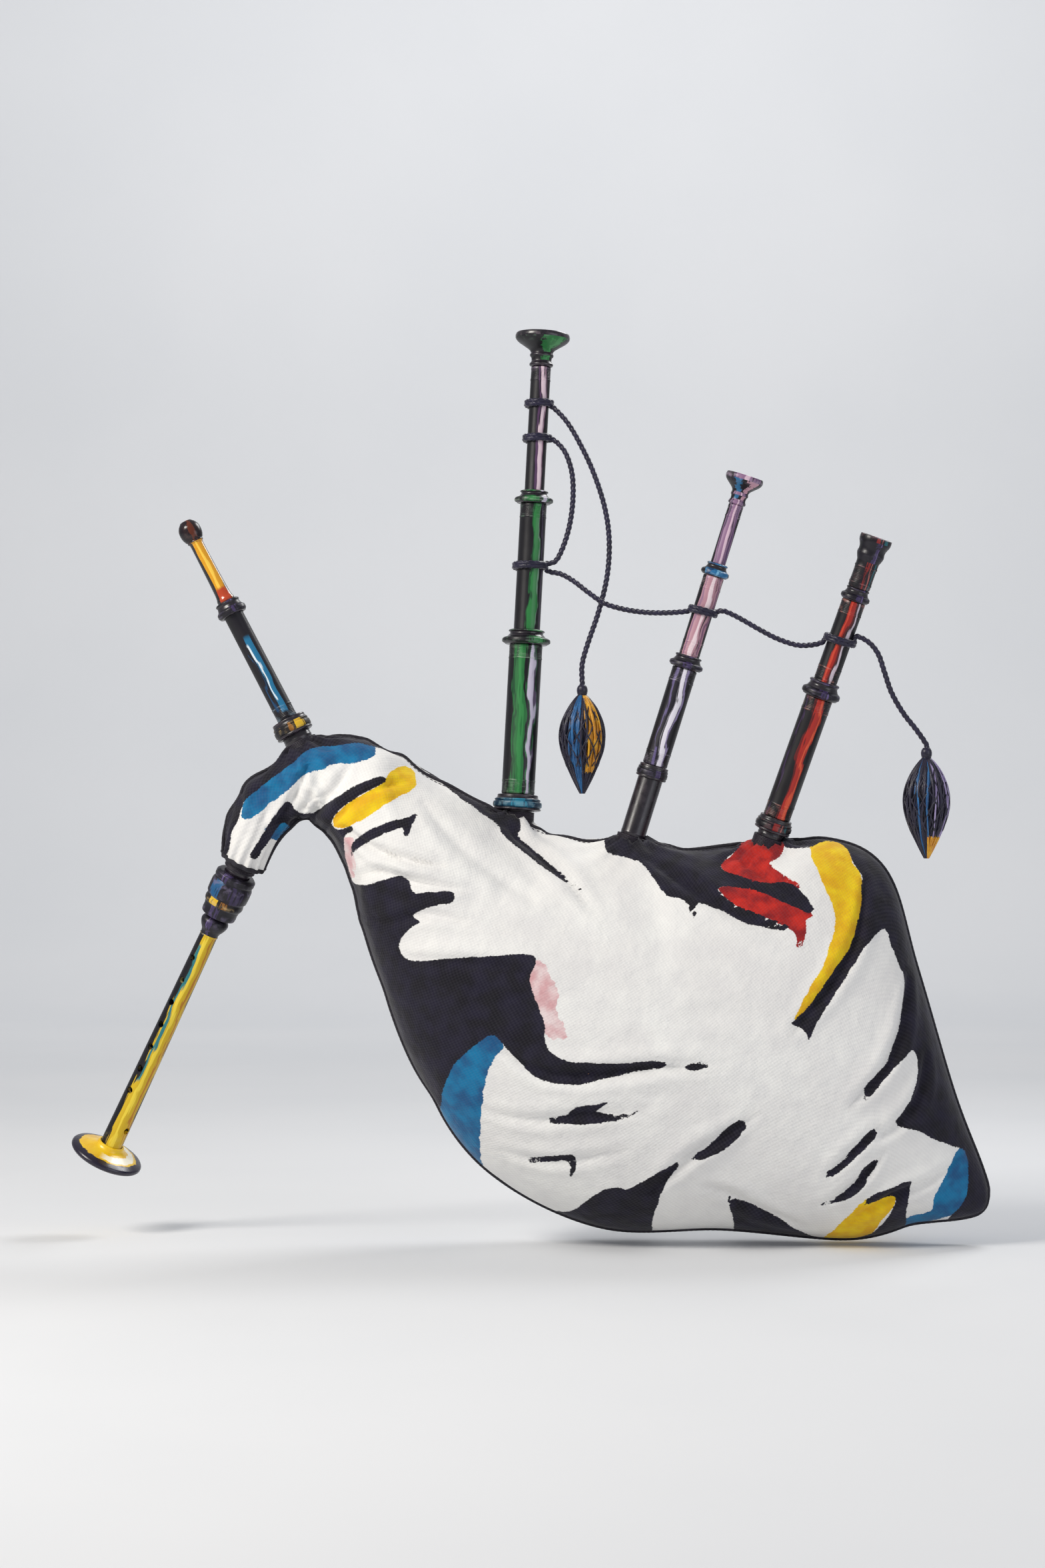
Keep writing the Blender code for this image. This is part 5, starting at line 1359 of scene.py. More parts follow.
def inflate(obj, most):
    """Blows the bag up as cloth under pressure, held at its ties, and keeps each point near its place."""
    rest = coordinates(obj.data)
    tied = [from_stock(rest, pipe) for pipe in (*BAG_STOCKS, "chanter")]
    held = np.min([np.where(np.abs(height) < AT_THE_TIE, away, 1.0) for away, _, height in tied], axis=0)
    group = obj.vertex_groups.new(name="tied_in")
    for index in np.nonzero(held < TIED_RADIUS)[0]:
        group.add([int(index)], 1.0, "REPLACE")
    cloth = obj.modifiers.new("inflated", "CLOTH")
    for setting, value in (
        ("quality", 5), ("mass", 0.3), ("tension_stiffness", 12), ("compression_stiffness", 6),
        ("shear_stiffness", 5), ("bending_stiffness", 0.3), ("shrink_min", -0.045), ("use_pressure", True),
        ("uniform_pressure_force", 3.0), ("vertex_group_mass", group.name),
    ):
        setattr(cloth.settings, setting, value)
    cloth.settings.effector_weights.gravity = 0.0
    cloth.collision_settings.use_collision = False
    scene = bpy.context.scene
    for step in range(1, 21):
        scene.frame_set(step)
    applied(obj)
    scene.frame_set(1)
    swollen = coordinates(obj.data) - rest
    length = np.linalg.norm(swollen, axis=1, keepdims=True)
    kept = rest + swollen * most * np.tanh(length / most) / np.maximum(length, 1e-9)
    move_points(obj.data, kept)
    obj.vertex_groups.clear()


def to_polyline(flat, line):
    """Each flat point's distance from a line of points, and how far along it is, from 0 to 1."""
    ends = np.array(line)
    runs = np.linalg.norm(np.diff(ends, axis=0), axis=1)
    starts = np.concatenate([[0], np.cumsum(runs)])
    best, share = np.full(len(flat), 1e9), np.zeros(len(flat))
    for a, b, run, start in zip(ends, ends[1:], runs, starts):
        t = np.clip(((flat - a) @ (b - a)) / run**2, 0, 1)
        away = np.linalg.norm(flat - (a + t[:, None] * (b - a)), axis=1)
        nearer = away < best
        best = np.where(nearer, away, best)
        share = np.where(nearer, (start + t * run) / starts[-1], share)
    return best, share


STOCK_GATHERS, NECK_GATHERS = 11, 13  # gathers round each stock, and round the neck


def fold_and_gather(mesh, share_of_depth):
    """Presses the folds into the cloth, and draws it up in gathers at its ties."""
    points, normals = coordinates(mesh), coordinates(mesh, True)
    flat = points[:, [0, 2]]
    front = np.clip(0.5 - points[:, 1] / 0.02, 0, 1)
    depth = np.zeros(len(points))
    for line, width, deep, on_front, on_back in FOLDS:
        curve = smooth_through([np.array(p) * MM for p in line], 6)
        drawn, _ = spaced([(x, 0.0, z) for x, z in curve], 4 * MM)
        away, share = to_polyline(flat, drawn[:, [0, 2]])
        reach = width * MM * (0.55 + 0.45 * np.sin(pi * share))
        fade = np.sin(pi * np.clip(0.06 + 0.88 * share, 0, 1)) ** 0.7
        fade *= np.exp(-np.maximum(away - 3.2 * reach, 0) / (4 * MM))
        crest = 0.60 * np.exp(-((away - 1.30 * reach) / (0.70 * reach)) ** 2)
        shape = crest - np.exp(-(away / (0.48 * reach)) ** 2)
        depth += deep * MM * share_of_depth * shape * fade * (on_back + (on_front - on_back) * front)
    points = points + normals * depth[:, None]
    for pipe in BAG_STOCKS:
        line = LINES[pipe]
        away, angle, height = from_stock(points, pipe)
        radius = measured(pipe + "_stock")[3]
        near = np.abs(height) < 1.1 * AT_THE_TIE
        out = np.maximum(away - radius, 0)
        rise = 8 * MM * np.exp(-(out / (11 * MM)) ** 2) * near
        wave = np.cos(STOCK_GATHERS * angle + 1.3 * np.sin(3 * angle))
        gather = 2.6 * MM * np.exp(-((out - 8 * MM) / (24 * MM)) ** 2) * wave * near
        points = points + np.outer(rise, line.col[2][:3]) + normals * gather[:, None]
    away, angle, height = from_stock(points, "chanter")
    near = np.exp(-np.maximum(-height, 0) / (30 * MM)) * (np.abs(height) < 120 * MM) * (away < 50 * MM)
    points = points + normals * (1.6 * MM * np.cos(NECK_GATHERS * angle) * near)[:, None]
    move_points(mesh, points)


def open_for_stocks(mesh):
    """Opens the skin where the stocks go through. The whippings cover the edges."""
    bm = bmesh.new()
    bm.from_mesh(mesh)
    for pipe in BAG_STOCKS:
        line = LINES[pipe]
        radius = measured(pipe + "_stock")[3] + 1 * MM
        points = np.array([tuple(v.co) for v in bm.verts])
        away, _, height = from_stock(points, pipe)
        verts = list(bm.verts)
        inside = [verts[i] for i in np.nonzero((away < radius) & (np.abs(height) < AT_THE_TIE))[0]]
        rim = {v for gone in inside for edge in gone.link_edges for v in edge.verts} - set(inside)
        inverse = line.inverted()
        for vert in rim:
            local = inverse @ vert.co
            flat = Vector((local.x, local.y)).normalized() * radius
            vert.co = line @ Vector((flat.x, flat.y, local.z))
        bmesh.ops.delete(bm, geom=inside, context="VERTS")
    bm.to_mesh(mesh)
    bm.free()


def inside_patch(flat, outline):
    """Each flat point's distance in from a patch's edge, in millimetres, negative outside."""
    curve = [np.array(p) * MM for p in outline]
    ring = np.array(smooth_through([*curve, curve[0]], 3)[:-1])
    away = np.full(len(flat), 1e9)
    crossings = np.zeros(len(flat), bool)
    for a, b in zip(ring, np.roll(ring, -1, axis=0)):
        side = b - a
        t = np.clip(((flat - a) @ side) / max(side @ side, 1e-12), 0, 1)
        away = np.minimum(away, np.linalg.norm(flat - (a + t[:, None] * side), axis=1))
        straddles = (a[1] > flat[:, 1]) != (b[1] > flat[:, 1])
        across = a[0] + (flat[:, 1] - a[1]) * side[0] / (side[1] if abs(side[1]) > 1e-12 else 1e-12)
        crossings ^= straddles & (flat[:, 0] < across)
    return np.where(crossings, away, -away) / MM


def dye(mesh):
    """Writes how far each point is inside each dye's patches, for the cloth to colour itself by."""
    flat = coordinates(mesh)[:, [0, 2]]
    for name, patches in PATCHES.items():
        reach = np.max([inside_patch(flat, outline) for outline in patches], axis=0)
        field = mesh.attributes.new(name, "FLOAT", "POINT")
        field.data.foreach_set("value", np.clip(reach, -30, 30).astype(np.float32))


def shell_of(obj, wall):
    """Gives a skin its wall, inwards."""
    wall_of = obj.modifiers.new("wall", "SOLIDIFY")
    wall_of.thickness = wall
    wall_of.offset = -1.0
    wall_of.use_even_offset = False
    return applied(obj)


def make_bag(settings):
    """The cloth cover and the hide bag inside it."""
    cover = bag_skin("bag_cover_cloth")
    inflate(cover, settings.swell)
    faces = [tuple(p.vertices) for p in cover.data.polygons]
    hide = piece("hide_bag_skin", coordinates(cover.data), faces, [], hard=0, body=None)
    fold_and_gather(hide.data, 0.6 * settings.fold_depth)
    open_for_stocks(hide.data)
    move_points(hide.data, coordinates(hide.data) - coordinates(hide.data, True) * (COVER_WALL + HIDE_GAP))
    shell_of(hide, HIDE_WALL)
    hide.data.materials.append(finish("hide"))
    hide.data.shade_smooth()
    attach(hide, "bag")
    named(hide, "hide", "hide_bag")

    finer = cover.modifiers.new("finer", "SUBSURF")
    finer.levels = finer.render_levels = 1
    applied(cover)
    fold_and_gather(cover.data, settings.fold_depth)
    dye(cover.data)
    bm = bmesh.new()
    bm.from_mesh(cover.data)
    surface = BVHTree.FromBMesh(bm)
    bm.free()
    open_for_stocks(cover.data)
    shell_of(cover, COVER_WALL)
    cover.data.materials.append(finish("cloth"))
    cover.data.shade_smooth()
    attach(cover, "bag")
    named(cover, "bag_cloth", "bag_cover")
    make_seam(surface)


PIPING_RADIUS = 2.1 * MM
STITCH = (3.4 * MM, 5.2 * MM, 0.55 * MM)  # length, spacing, radius


def make_seam(surface):
    """The piped seam round the bag's edge, its neck's piped hem, and a row of stitches on either side."""
    rows = bag_slices()
    top = [Vector(middle + up) for middle, up, _ in rows]
    bottom = [Vector(middle - up) for middle, up, _ in rows]
    loop, _ = spaced(top + bottom[::-1], 2.5 * MM)
    placed = []
    for spot in loop:
        found, normal, _, _ = surface.find_nearest(Vector(spot))
        placed.append((found, normal))
    line = np.array([tuple(found + normal * 0.7 * MM) for found, normal in placed])
    for _ in range(3):
        line[1:-1] = (line[:-2] + 2 * line[1:-1] + line[2:]) / 4
    blocked = np.zeros(len(line), bool)
    for pipe in BAG_STOCKS:
        away, _, height = from_stock(line, pipe)
        wide = measured(pipe + "_stock_whipping")[3] + 0.5 * MM
        blocked |= (away < wide) & (np.abs(height) < AT_THE_TIE)
    bunch, stitches = Bunch(), Bunch()
    run = []
    for i, stop in enumerate([*blocked, True]):
        if not stop:
            run.append(line[i])
            continue
        if len(run) > 4:
            bunch.add(*swept(run, PIPING_RADIUS, 14, 2, 9 * MM, 0.10))
        run = []
    first = rows[0]
    hem = []
    for k in range(48):
        angle = 2 * pi * k / 48
        spot = Vector(first[0] + first[1] * cos(angle) + first[2] * sin(angle))
        hem.append(surface.find_nearest(spot)[0])
    bunch.add(*swept(hem, 2.4 * MM, 14, closed=True))
    seam = bunch.make("bag_piping", [finish("piping")], "bag")

    stitch_length, spacing, thick = STITCH
    step = max(1, round(spacing / (2.5 * MM)))
    for i in range(step, len(line) - step, step):
        tangent = Vector(line[i + 1] - line[i - 1]).normalized()
        for side in (-1, 1):
            spot, normal, _, _ = surface.find_nearest(Vector(line[i]) + Vector((0, side * 6 * MM, 0)))
            from_stocks = [from_stock(np.array([spot]), pipe) for pipe in BAG_STOCKS]
            if any(away[0] < 22 * MM and abs(height[0]) < AT_THE_TIE for away, _, height in from_stocks):
                continue
            ends = [spot + tangent * stitch_length * (t - 0.5) + normal * (0.25 - 0.5 * abs(t - 0.5) * 2) * MM
                    for t in (0.0, 0.25, 0.5, 0.75, 1.0)]
            stitches.add(*swept(ends, thick, 6))
    sewn = stitches.make("bag_stitching", [finish("stitching")], "bag")


# ---- cords and tassels
CORD_RADIUS = 3.0 * MM
# The routes, from where each cord leaves its wrap to where it ends.
ROUTES = {
    "tassel_cord_bass": [
        (-0.1313, 0.0294, 0.6478), (-0.1180, 0.0240, 0.6330), (-0.1050, 0.0205, 0.6110),
        (-0.0905, 0.0180, 0.5800), (-0.0785, 0.0165, 0.5430), (-0.0735, 0.0155, 0.5080),
        (-0.0755, 0.0150, 0.4700), (-0.0845, 0.0150, 0.4320), (-0.0960, 0.0150, 0.3980),
        (-0.1020, 0.0150, 0.3760), (-0.1020, 0.0150, 0.3570),
    ],
    "cord_loop": [
        (-0.1310, 0.0280, 0.6135), (-0.1200, 0.0240, 0.6010), (-0.1130, 0.0215, 0.5800),
        (-0.1115, 0.0205, 0.5560), (-0.1140, 0.0200, 0.5300), (-0.1200, 0.0200, 0.5060),
        (-0.1295, 0.0215, 0.4860),
    ],
    "cord_bass_to_middle": [
        (-0.1355, 0.0240, 0.4740), (-0.1240, 0.0215, 0.4715), (-0.1110, 0.0165, 0.4640),
        (-0.0960, 0.0095, 0.4520), (-0.0790, 0.0045, 0.4400), (-0.0590, -0.0005, 0.4335),
        (-0.0380, -0.0060, 0.4300), (-0.0170, -0.0120, 0.4290), (0.0040, -0.0165, 0.4300),
    ],
    "cord_middle_to_outer": [
        (0.0445, -0.0235, 0.4305), (0.0540, -0.0250, 0.4270), (0.0660, -0.0275, 0.4205),
        (0.0830, -0.0310, 0.4105), (0.1010, -0.0345, 0.4010), (0.1200, -0.0380, 0.3945),
        (0.1340, -0.0405, 0.3940), (0.1460, -0.0420, 0.3965),
    ],
    "tassel_cord_outer": [
        (0.1825, -0.0480, 0.4030), (0.1950, -0.0505, 0.3965), (0.2045, -0.0525, 0.3840),
        (0.2105, -0.0540, 0.3660), (0.2180, -0.0550, 0.3440), (0.2300, -0.0555, 0.3230),
        (0.2440, -0.0560, 0.3050), (0.2540, -0.0560, 0.2900),
    ],
}
# The wraps, or the tassel, that hold a cord's first end and its last.
TUCKED = {
    "tassel_cord_bass": ("bass_top_wrap", "tassel_bass"),
    "cord_loop": ("bass_loop_wrap", "bass_middle_wrap"),
    "cord_bass_to_middle": ("bass_middle_wrap", "middle_tenor_wrap"),
    "cord_middle_to_outer": ("middle_tenor_wrap", "outer_tenor_wrap"),
    "tassel_cord_outer": ("outer_tenor_wrap", "tassel_outer"),
}


def tucked_end(end, wrap):
    """The point in the middle of a wrap's turns that is nearest to a cord's end."""
    line = line_of(wrap)
    low, high, inner, _ = measured(wrap)
    local = line.inverted() @ Vector(end)
    flat = Vector((local.x, local.y)).normalized() * (inner + 0.7 * CORD_RADIUS)
    height = min(max(local.z, low + CORD_RADIUS), high - CORD_RADIUS)
    return tuple(line @ Vector((flat.x, flat.y, height)))


def inside_head(tassel):
    """The point inside a tassel's head that its cord runs into."""
    low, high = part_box(tassel)
    return (low.x + high.x) / 2, (low.y + high.y) / 2, high.z - 3 * MM


def cord_shape(name, lay):
    """A laid silk cord of three strands: its points, its faces, its centreline and its length."""
    route = list(ROUTES[name])
    first, last = TUCKED[name]
    route.insert(0, tucked_end(route[0], first))
    route.append(tucked_end(route[-1], last) if last.endswith("wrap") else inside_head(last))
    fine, length = spaced(smooth_through([np.array(p) for p in route], 12), 1.0 * MM)
    points, faces = swept(fine, CORD_RADIUS, 18, 3, lay, 0.26)
    return points, faces, fine, length


def make_cords(settings):
    """The five cords. The two that cross a tuning slide are baked in place, on no body."""
    found = {}
    for name, bodies in (
        ("tassel_cord_bass", ("bass_top",)), ("cord_loop", ("bass_top", "bass_middle")),
        ("cord_bass_to_middle", ("bass_middle", "bag")), ("cord_middle_to_outer", ("bag",)),
        ("tassel_cord_outer", ("bag",)),
    ):
        points, faces, line, length = cord_shape(name, settings.lay)
        alone = bodies[0] if len(bodies) == 1 else None
        made = piece(name + "_laid", points, faces, [finish("silk")], hard=0, body=alone)
        if not alone:
            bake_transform(made)
        named(made, "silk", name)
        found[name] = (made, line, length)
    return found


WRAP_TURNS = 2
# The knot behind the turns: degrees round the pipe, how far out as a share of the turns, and millimetres up.
WRAP_KNOT = ((52, 1.0, -4.2), (60, 1.16, -2.2), (72, 1.20, 0.4), (82, 1.14, 2.8), (88, 1.0, 4.4))


def make_wrap(node, body, settings):
    """A cord's turns round a pipe, laid like the cord itself, with the knot that ties them off behind."""
    low, high, inner, _ = measured(node)
    ring, middle = inner - 0.3 * MM + 0.9 * CORD_RADIUS, (low + high) / 2
    path = []
    for i in range(WRAP_TURNS * 60 + 1):
        angle = 2 * pi * i / 60 + radians(70)
        height = low + CORD_RADIUS + (high - low - 2 * CORD_RADIUS) * i / (WRAP_TURNS * 60)
        path.append(Vector((ring * cos(angle), ring * sin(angle), height)))
    bunch = Bunch()
    bunch.add(*swept(path, CORD_RADIUS * 0.96, 18, 3, settings.lay, 0.26))
    knot = [
        np.array([ring * out * cos(radians(turn)), ring * out * sin(radians(turn)), middle + up * MM])
        for turn, out, up in WRAP_KNOT
    ]
    knot, _ = spaced(smooth_through(knot, 8), 1 * MM)
    bunch.add(*swept(knot, CORD_RADIUS * 0.8, 14, 3, settings.lay, 0.26))
    made = bunch.make(node + "_laid", [finish("silk")], body, line_of(node))
    return named(made, "silk", node)


# A tassel's outline below its neck, as (share of its radius, share of its length).
TASSEL_SHAPE = ((0.14, 0.10), (0.30, 0.13), (0.62, 0.22), (0.88, 0.34), (0.98, 0.46), (0.94, 0.58),
                (0.74, 0.72), (0.48, 0.84), (0.24, 0.94), (0.09, 1.0))
TASSEL_HEAD = ((3.5, 0.0), (5.2, -2.5), (5.8, -6.0), (5.2, -9.5))  # its knot's radii and heights, in mm
GOLDEN_SHARE = 0.6180339887  # of a turn from each strand to the next, so that they never line up
NET_CORDS, NET_TURNS = 12, 1.5  # cords laid each way round the bulb, and how many of their gaps each crosses


def make_tassel(node, body, settings, colours, tip):
    """A tassel: a knotted cord head, a bound neck, a netted bulb of cord and a fringe that closes to a point.

    Each colour starts where the strands are that share of the way across, from right to left; the ends of the
    strands on the right are in the colour of the tip.
    """
    low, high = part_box(node)
    top = Vector(((low.x + high.x) / 2, (low.y + high.y) / 2, high.z))
    length = min(high.z - low.z, 114.5 * MM)
    wide = (high.x - low.x) / 2
    line = Matrix.Translation(top)
    profile = smooth_through([np.array([r * wide, -h * length]) for r, h in TASSEL_SHAPE], 4)
    bunch = Bunch()
    for i in range(settings.strands):
        layer = i % 3
        angle = 2 * pi * (i * GOLDEN_SHARE % 1.0)
        depth = (1.0, 0.90, 0.80)[layer] - 0.02 * sin(5 * angle + i)
        sway = 0.05 * sin(3.1 * i)
        path = []
        for k, (radius, height) in enumerate(profile):
            t = k / (len(profile) - 1)
            turn = angle + 0.10 * sin(2.2 * pi * t + i) + sway * t
            wave = 1 + 0.02 * sin(9 * t + 2.3 * i)
            path.append((radius * depth * wave * cos(turn), radius * depth * wave * sin(turn),
                         height * (1 - 0.05 * t * ((i * 7) % 5) / 5)))
        across = cos(angle)
        pick = next(k for k, (_, from_across) in enumerate(colours) if across >= from_across)
        cut = len(path) * 3 // 4 if across > -0.1 else len(path) - 1
        bunch.add(*swept(path[:cut + 1], lambda t: (1.55 - 0.7 * t) * MM, 6), pick)
        if cut < len(path) - 1:
            bunch.add(*swept(path[cut:], lambda t: (1.0 - 0.2 * t) * MM, 6), len(colours))
    finishes = [finish(name) for name, _ in colours] + [finish(tip)]
    neck = wide * 0.28
    knot = [(r, h) for r, h in smooth_through([np.array(p) * MM for p in TASSEL_HEAD], 3)]
    binding = thread_turns(neck * 0.72, -18.5 * MM, -10.0 * MM, 1.3 * MM)
    shape = [(0.0, 0.5 * MM), *knot, *reversed(binding), (neck * 0.9, -19.5 * MM), (0.0, -20.0 * MM)]
    points, _, faces, _ = lathe(eased(zoned(shape, 0)[::-1], 0.3 * MM), 28)
    dark = len(colours) - 1
    bunch.add(points, faces, dark)
    for i in range(NET_CORDS):
        for way in (1, -1):
            path = []
            for k, (radius, height) in enumerate(profile[:26]):
                angle = 2 * pi / NET_CORDS * (i + way * NET_TURNS * k / 10)
                path.append((radius * 1.035 * cos(angle), radius * 1.035 * sin(angle), height))
            bunch.add(*swept(path, 0.75 * MM, 6), dark)
    made = bunch.make(node + "_fringe", finishes, body, line)
    return named(made, "silk", node)


# ---- the stage
LOOK_AT = Vector(((CAD_BOX[0][0] + CAD_BOX[1][0]) / 2, 0.0, (CAD_BOX[0][2] + CAD_BOX[1][2]) / 2))


def make_camera(settings):
    """A level camera square to the bag's face, far enough away for the picture to be nearly flat."""
    data = bpy.data.cameras.new("camera")
    data.sensor_fit = "VERTICAL"
    data.sensor_height = 36.0
    data.lens = settings.lens
    tall = settings.frame_width * 1.5
    away = tall / 2 / (data.sensor_height / 2 / data.lens)
    camera = bpy.data.objects.new("camera", data)
    bpy.context.scene.collection.objects.link(camera)
    aim = LOOK_AT + Vector((0.0, 0.0, settings.frame_lift))
    camera.location = aim + FRONT * away
    camera.rotation_euler = (radians(90), 0.0, 0.0)
    bpy.context.scene.camera = camera


def softbox(name, place, aim, size, power, colour):
    """A square studio softbox."""
    data = bpy.data.lights.new(name, "AREA")
    data.shape = "RECTANGLE"
    data.size, data.size_y = size
    data.energy = power
    data.color = linear(colour)[:3]
    lamp = bpy.data.objects.new(name, data)
    bpy.context.scene.collection.objects.link(lamp)
    lamp.location = place
    lamp.rotation_euler = (Vector(aim) - Vector(place)).to_track_quat("-Z", "Y").to_euler()


def make_stage(settings):
    """A pale seamless floor and backdrop, four softboxes and an even, dim sky."""
    floor = CAD_BOX[0][2] - settings.floor_gap
    bend, back, half = 1.4, 5.2, 9.0
    profile = [(-9.0, floor), (-3.0, floor), (back - bend, floor)]
    profile += [(back - bend + bend * sin(a), floor + bend * (1 - cos(a)))
                for a in (radians(d) for d in range(6, 91, 6))]
    profile += [(back, floor + 6.0)]
    points = [(x, y, z) for y, z in profile for x in (-half, half)]
    faces = [(2 * i, 2 * i + 1, 2 * i + 3, 2 * i + 2) for i in range(len(profile) - 1)]
    made, tree, place = new_material("pale_studio_paper", IOR=1.45, Specular_IOR_Level=0.2)
    paper = (*bpy.context.scene.bagpipes_colours.paper, 1.0)
    colour = layered(tree, paper, [(uneven(tree, place, 700, 0.0, 0.5), linear("#dddfe2"))])
    surfaced(made, colour, uneven(tree, place, 400, 0.82, 0.92))
    sweep = piece("seamless_paper", points, faces, [made], hard=0, body=None)
    softbox("key_softbox", (-2.1, -1.5, 1.9), LOOK_AT, (1.0, 1.0), settings.key_power, "#fffaf2")
    softbox("fill_softbox", (2.2, -2.2, 0.8), LOOK_AT, (1.8, 1.8), settings.key_power * 0.26, "#f2f6ff")
    softbox("rim_softbox", (0.7, 1.0, 1.7), LOOK_AT, (0.9, 0.7), settings.key_power * 0.25, "#ffffff")
    softbox("backdrop_softbox", (0.0, 3.0, 2.8), (0.0, back, 0.8), (4.0, 0.8), settings.key_power * 0.66,
            "#ffffff")
    world = bpy.data.worlds.new("studio_sky")
    world.use_nodes = True
    sky = world.node_tree.nodes["Background"]
    sky.inputs["Color"].default_value = linear("#f4f6fa")
    sky.inputs["Strength"].default_value = settings.sky
    bpy.context.scene.world = world
    bpy.context.scene.view_settings.view_transform = "Standard"


# ---- settings, operators and panel
class BagpipesStage(PropertyGroup):
    """How the instrument is lit and framed."""

    frame_width: FloatProperty(
        name="Frame width", description="Width of the view at the instrument", default=1.10, unit="LENGTH")
    frame_lift: FloatProperty(
        name="Frame lift", description="How far the middle of the view is above the instrument's",
        default=0.0, unit="LENGTH")
    lens: FloatProperty(name="Lens", description="Focal length in millimetres", default=85.0)
    floor_gap: FloatProperty(
        name="Floor gap", description="Height of the instrument's lowest point above the floor",
        default=4 * MM, unit="LENGTH")
    key_power: FloatProperty(name="Key power", description="Power of the key softbox in watts", default=68.0,
                             subtype="POWER")
    sky: FloatProperty(name="Sky", description="Strength of the even light from all round", default=0.40)


def colour_setting(name, description, hex_colour):
    """A colour as a setting."""
    return FloatVectorProperty(
        name=name, description=description, default=linear(hex_colour)[:3], subtype="COLOR")


class BagpipesColours(PropertyGroup):
    """The cloth, its dyes and the backdrop."""

    cloth: colour_setting("Cloth", "The undyed cloth of the bag's cover", "#f4f3ef")
    # the black is painted shade on the cloth
    ink_shade: colour_setting("Ink", "The black dye", "#121018")
    blue: colour_setting("Blue", "The blue dye", "#1277a6")
    yellow: colour_setting("Yellow", "The yellow dye", "#f2cf14")
    red: colour_setting("Red", "The red dye", "#cb2a1e")
    pink: colour_setting("Pink", "The pink dye, brushed on thin", "#d6a3a6")
    paper: colour_setting("Paper", "The floor and the backdrop", "#e4e5e7")


class BagpipesCloth(PropertyGroup):
    """The bag's cover."""

    swell: FloatProperty(
        name="Swell", description="How far the pressure may move a point of the cover", default=6 * MM,
        unit="LENGTH")
    fold_depth: FloatProperty(
        name="Fold depth", description="How deep the folds are pressed, as a share of their own depth",
        default=1.1)
    fill: FloatProperty(
        name="Fill", description="How tightly the bag is blown up", default=0.85, subtype="FACTOR")


class BagpipesCords(PropertyGroup):
    """The silk cords and the tassels."""

    lay: FloatProperty(
        name="Lay", description="Length of cord in which its strands turn once", default=17 * MM,
        unit="LENGTH")
    strands: IntProperty(name="Strands", description="Strands in each tassel's fringe", default=150)


class BAGPIPES_OT_camera(Operator):
    """Places the camera square to the bag's face"""

    bl_idname = "bagpipes.camera"
    bl_label = "Camera"

    def execute(self, context):
        make_camera(context.scene.bagpipes_stage)
        return {"FINISHED"}


class BAGPIPES_OT_cords(Operator):
    """Makes the silk cords, their turns round the drones, and the tassels"""

    bl_idname = "bagpipes.cords"
    bl_label = "Cords and tassels"

    def execute(self, context):
        settings = context.scene.bagpipes_cords
        cords = make_cords(settings)
        for node, body in (
            ("bass_middle_wrap", "bass_middle"), ("bass_loop_wrap", "bass_top"),
            ("bass_top_wrap", "bass_top"), ("middle_tenor_wrap", "bag"), ("outer_tenor_wrap", "bag"),
        ):
            make_wrap(node, body, settings)
        # The black strands at the tassels' outer sides are painted shade: both sides of the bass's tassel,
        # the left of the outer tenor's.
        tassels = {
            "tassel_cord_bass": make_tassel("tassel_bass", "tassel_bass", settings, (
                ("silk_black", 0.88), ("silk_gold", 0.24), ("silk_black", -0.06), ("silk_blue", -0.68),
                ("silk_black", -1.1)), "silk_black"),
            "tassel_cord_outer": make_tassel("tassel_outer", "tassel_outer", settings, (
                ("silk_lilac", 0.84), ("silk_black", 0.46), ("silk_lilac", 0.34), ("silk_black", 0.06),
                ("silk_blue", -0.14), ("silk_black", -0.46), ("silk_blue", -0.56), ("silk_black", -1.1)),
                "silk_gold"),
        }
        return {"FINISHED"}


class BAGPIPES_OT_bag(Operator):
    """Makes the dyed cloth cover, its seam and the hide bag inside it"""

    bl_idname = "bagpipes.bag"
    bl_label = "Bag"

    def execute(self, context):
        make_bag(context.scene.bagpipes_cloth)
        return {"FINISHED"}


class BAGPIPES_OT_stocks(Operator):
    """Turns the five stocks with their ferrules and winds the whippings that tie the bag to them"""

    bl_idname = "bagpipes.stocks"
    bl_label = "Stocks"

    def execute(self, context):
        make_stock("bass", ("blackwood", "ring_blue"), "blue_lacquer")
        make_stock("middle_tenor", ("blackwood", "purple_black"), "blackwood")
        make_stock("outer_tenor", ("blackwood", "oxblood"), "red_lacquer")
        make_stock("blowpipe", ("blackwood", "gold"), "yellow_lacquer")
        make_stock("chanter", ("purple_black", "chanter_ring", "gold"), "blackwood")
        return {"FINISHED"}


class BAGPIPES_OT_drones(Operator):
    """Turns the bass drone and the two tenor drones"""

    bl_idname = "bagpipes.drones"
    bl_label = "Drones"

    def execute(self, context):
        make_bass()
        wide = make_tenor(
            "middle_tenor", MIDDLE_PIN,
            ("violet", "rose", ("blackwood", "purple_black"), ("blackwood", "sky"), "mauve"),
            ("violet_lacquer", "violet_lacquer", "blue_lacquer"),
        )
        make_bell("middle_tenor_bell", wide, "middle_tenor_top", ("mauve", "mixed_bell"), "blue_lacquer",
                  12 * MM)
        make_tenor(
            "outer_tenor", OUTER_PIN,
            ("red", "red_waist", ("blackwood", "purple_black"), ("blackwood", "purple_black"), "oxblood"),
            ("red_lacquer", "red_lacquer", "blackwood"),
        )
        make_cap()
        return {"FINISHED"}


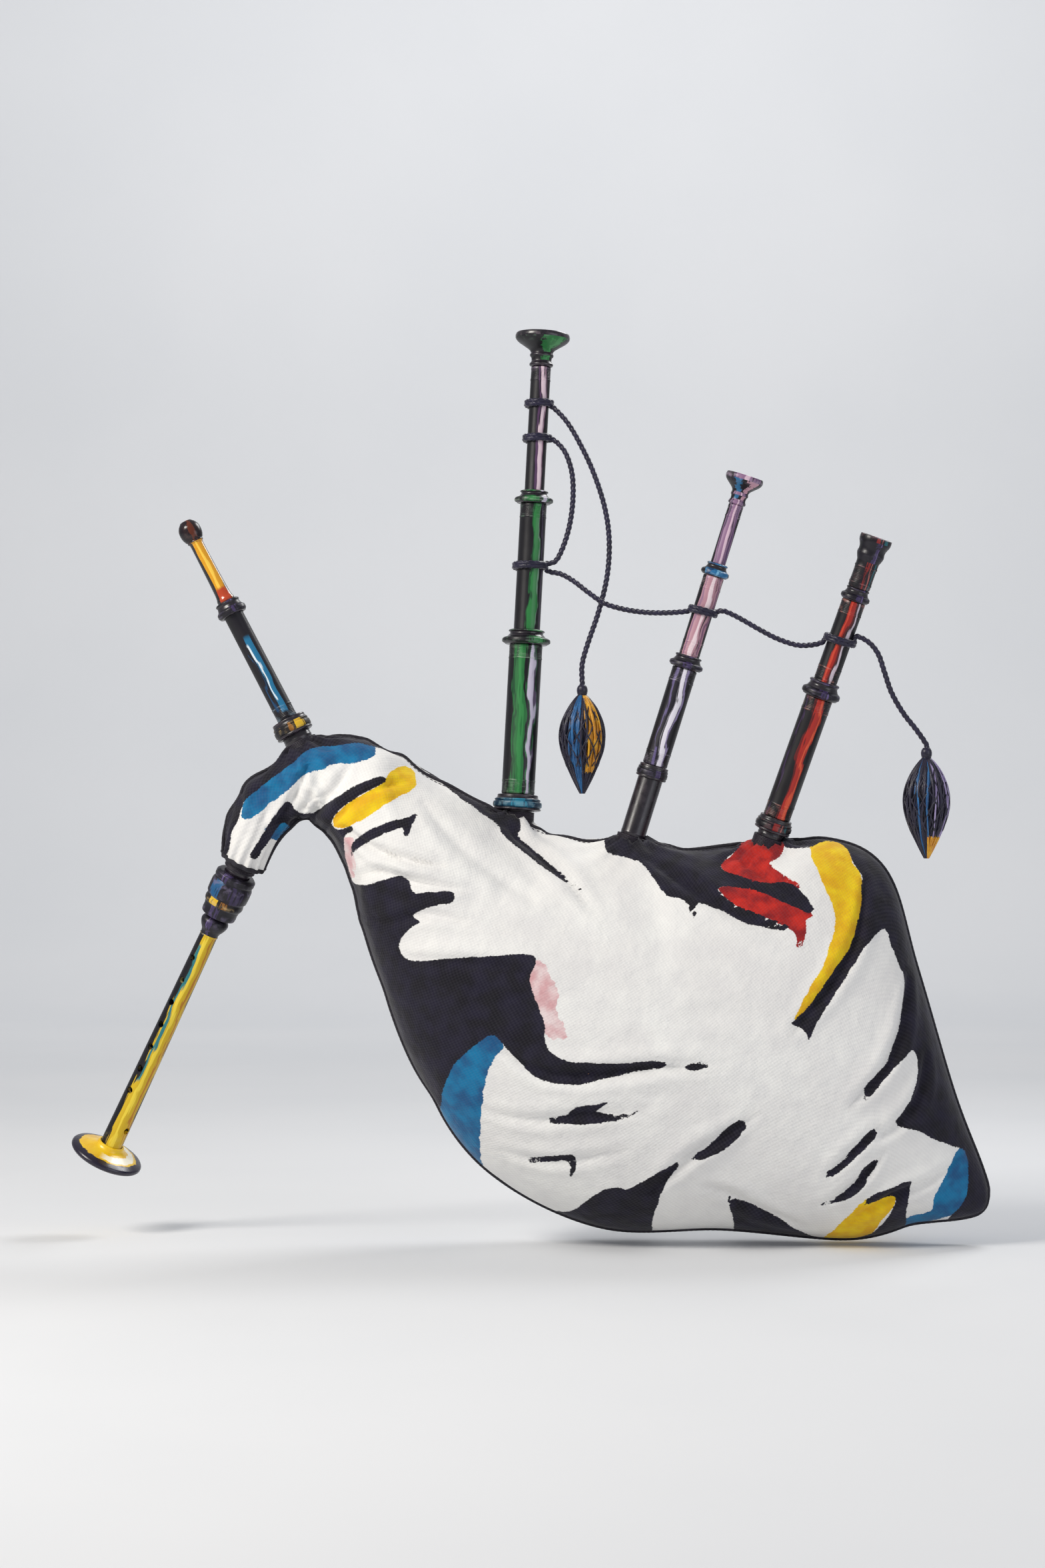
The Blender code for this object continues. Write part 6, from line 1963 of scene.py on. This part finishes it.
class BAGPIPES_OT_blowpipe(Operator):
    """Turns the blowpipe, its mount and its mouthpiece, and cuts the valve's flap"""

    bl_idname = "bagpipes.blowpipe"
    bl_label = "Blowpipe"

    def execute(self, context):
        make_blowpipe()
        make_valve()
        return {"FINISHED"}


class BAGPIPES_OT_chanter(Operator):
    """Turns and drills the chanter and its sole, and finishes the reeds"""

    bl_idname = "bagpipes.chanter"
    bl_label = "Chanter and reeds"

    def execute(self, context):
        make_chanter()
        finish_reeds()
        return {"FINISHED"}


class BAGPIPES_OT_stage(Operator):
    """Lays the pale floor and backdrop and hangs the softboxes"""

    bl_idname = "bagpipes.stage"
    bl_label = "Stage"

    def execute(self, context):
        make_stage(context.scene.bagpipes_stage)
        return {"FINISHED"}


STEPS = (
    BAGPIPES_OT_camera, BAGPIPES_OT_cords, BAGPIPES_OT_bag, BAGPIPES_OT_stocks, BAGPIPES_OT_drones,
    BAGPIPES_OT_blowpipe, BAGPIPES_OT_chanter, BAGPIPES_OT_stage,
)
GROUPS = {
    "bagpipes_stage": BagpipesStage, "bagpipes_colours": BagpipesColours, "bagpipes_cloth": BagpipesCloth,
    "bagpipes_cords": BagpipesCords,
}


class BAGPIPES_PT_panel(Panel):
    """The bagpipes' settings and steps"""

    bl_idname = "BAGPIPES_PT_panel"
    bl_label = "Bagpipes"
    bl_space_type = "VIEW_3D"
    bl_region_type = "UI"
    bl_category = "Bagpipes"

    def draw(self, context):
        for step in STEPS:
            self.layout.operator(step.bl_idname)
        for group in GROUPS:
            box = self.layout.box()
            box.label(text=group.removeprefix("bagpipes_").title())
            settings = getattr(context.scene, group)
            for name in settings.__annotations__:
                box.prop(settings, name)


def register():
    for found in (*GROUPS.values(), *STEPS, BAGPIPES_PT_panel):
        bpy.utils.register_class(found)
    for name, group in GROUPS.items():
        setattr(bpy.types.Scene, name, PointerProperty(type=group))


def unregister():
    for name in GROUPS:
        delattr(bpy.types.Scene, name)
    for found in reversed((*GROUPS.values(), *STEPS, BAGPIPES_PT_panel)):
        bpy.utils.unregister_class(found)


def main():
    """Runs every step in order."""
    register()
    for step in STEPS:
        group, name = step.bl_idname.split(".")
        getattr(getattr(bpy.ops, group), name)()


if __name__ == "__main__":
    main()
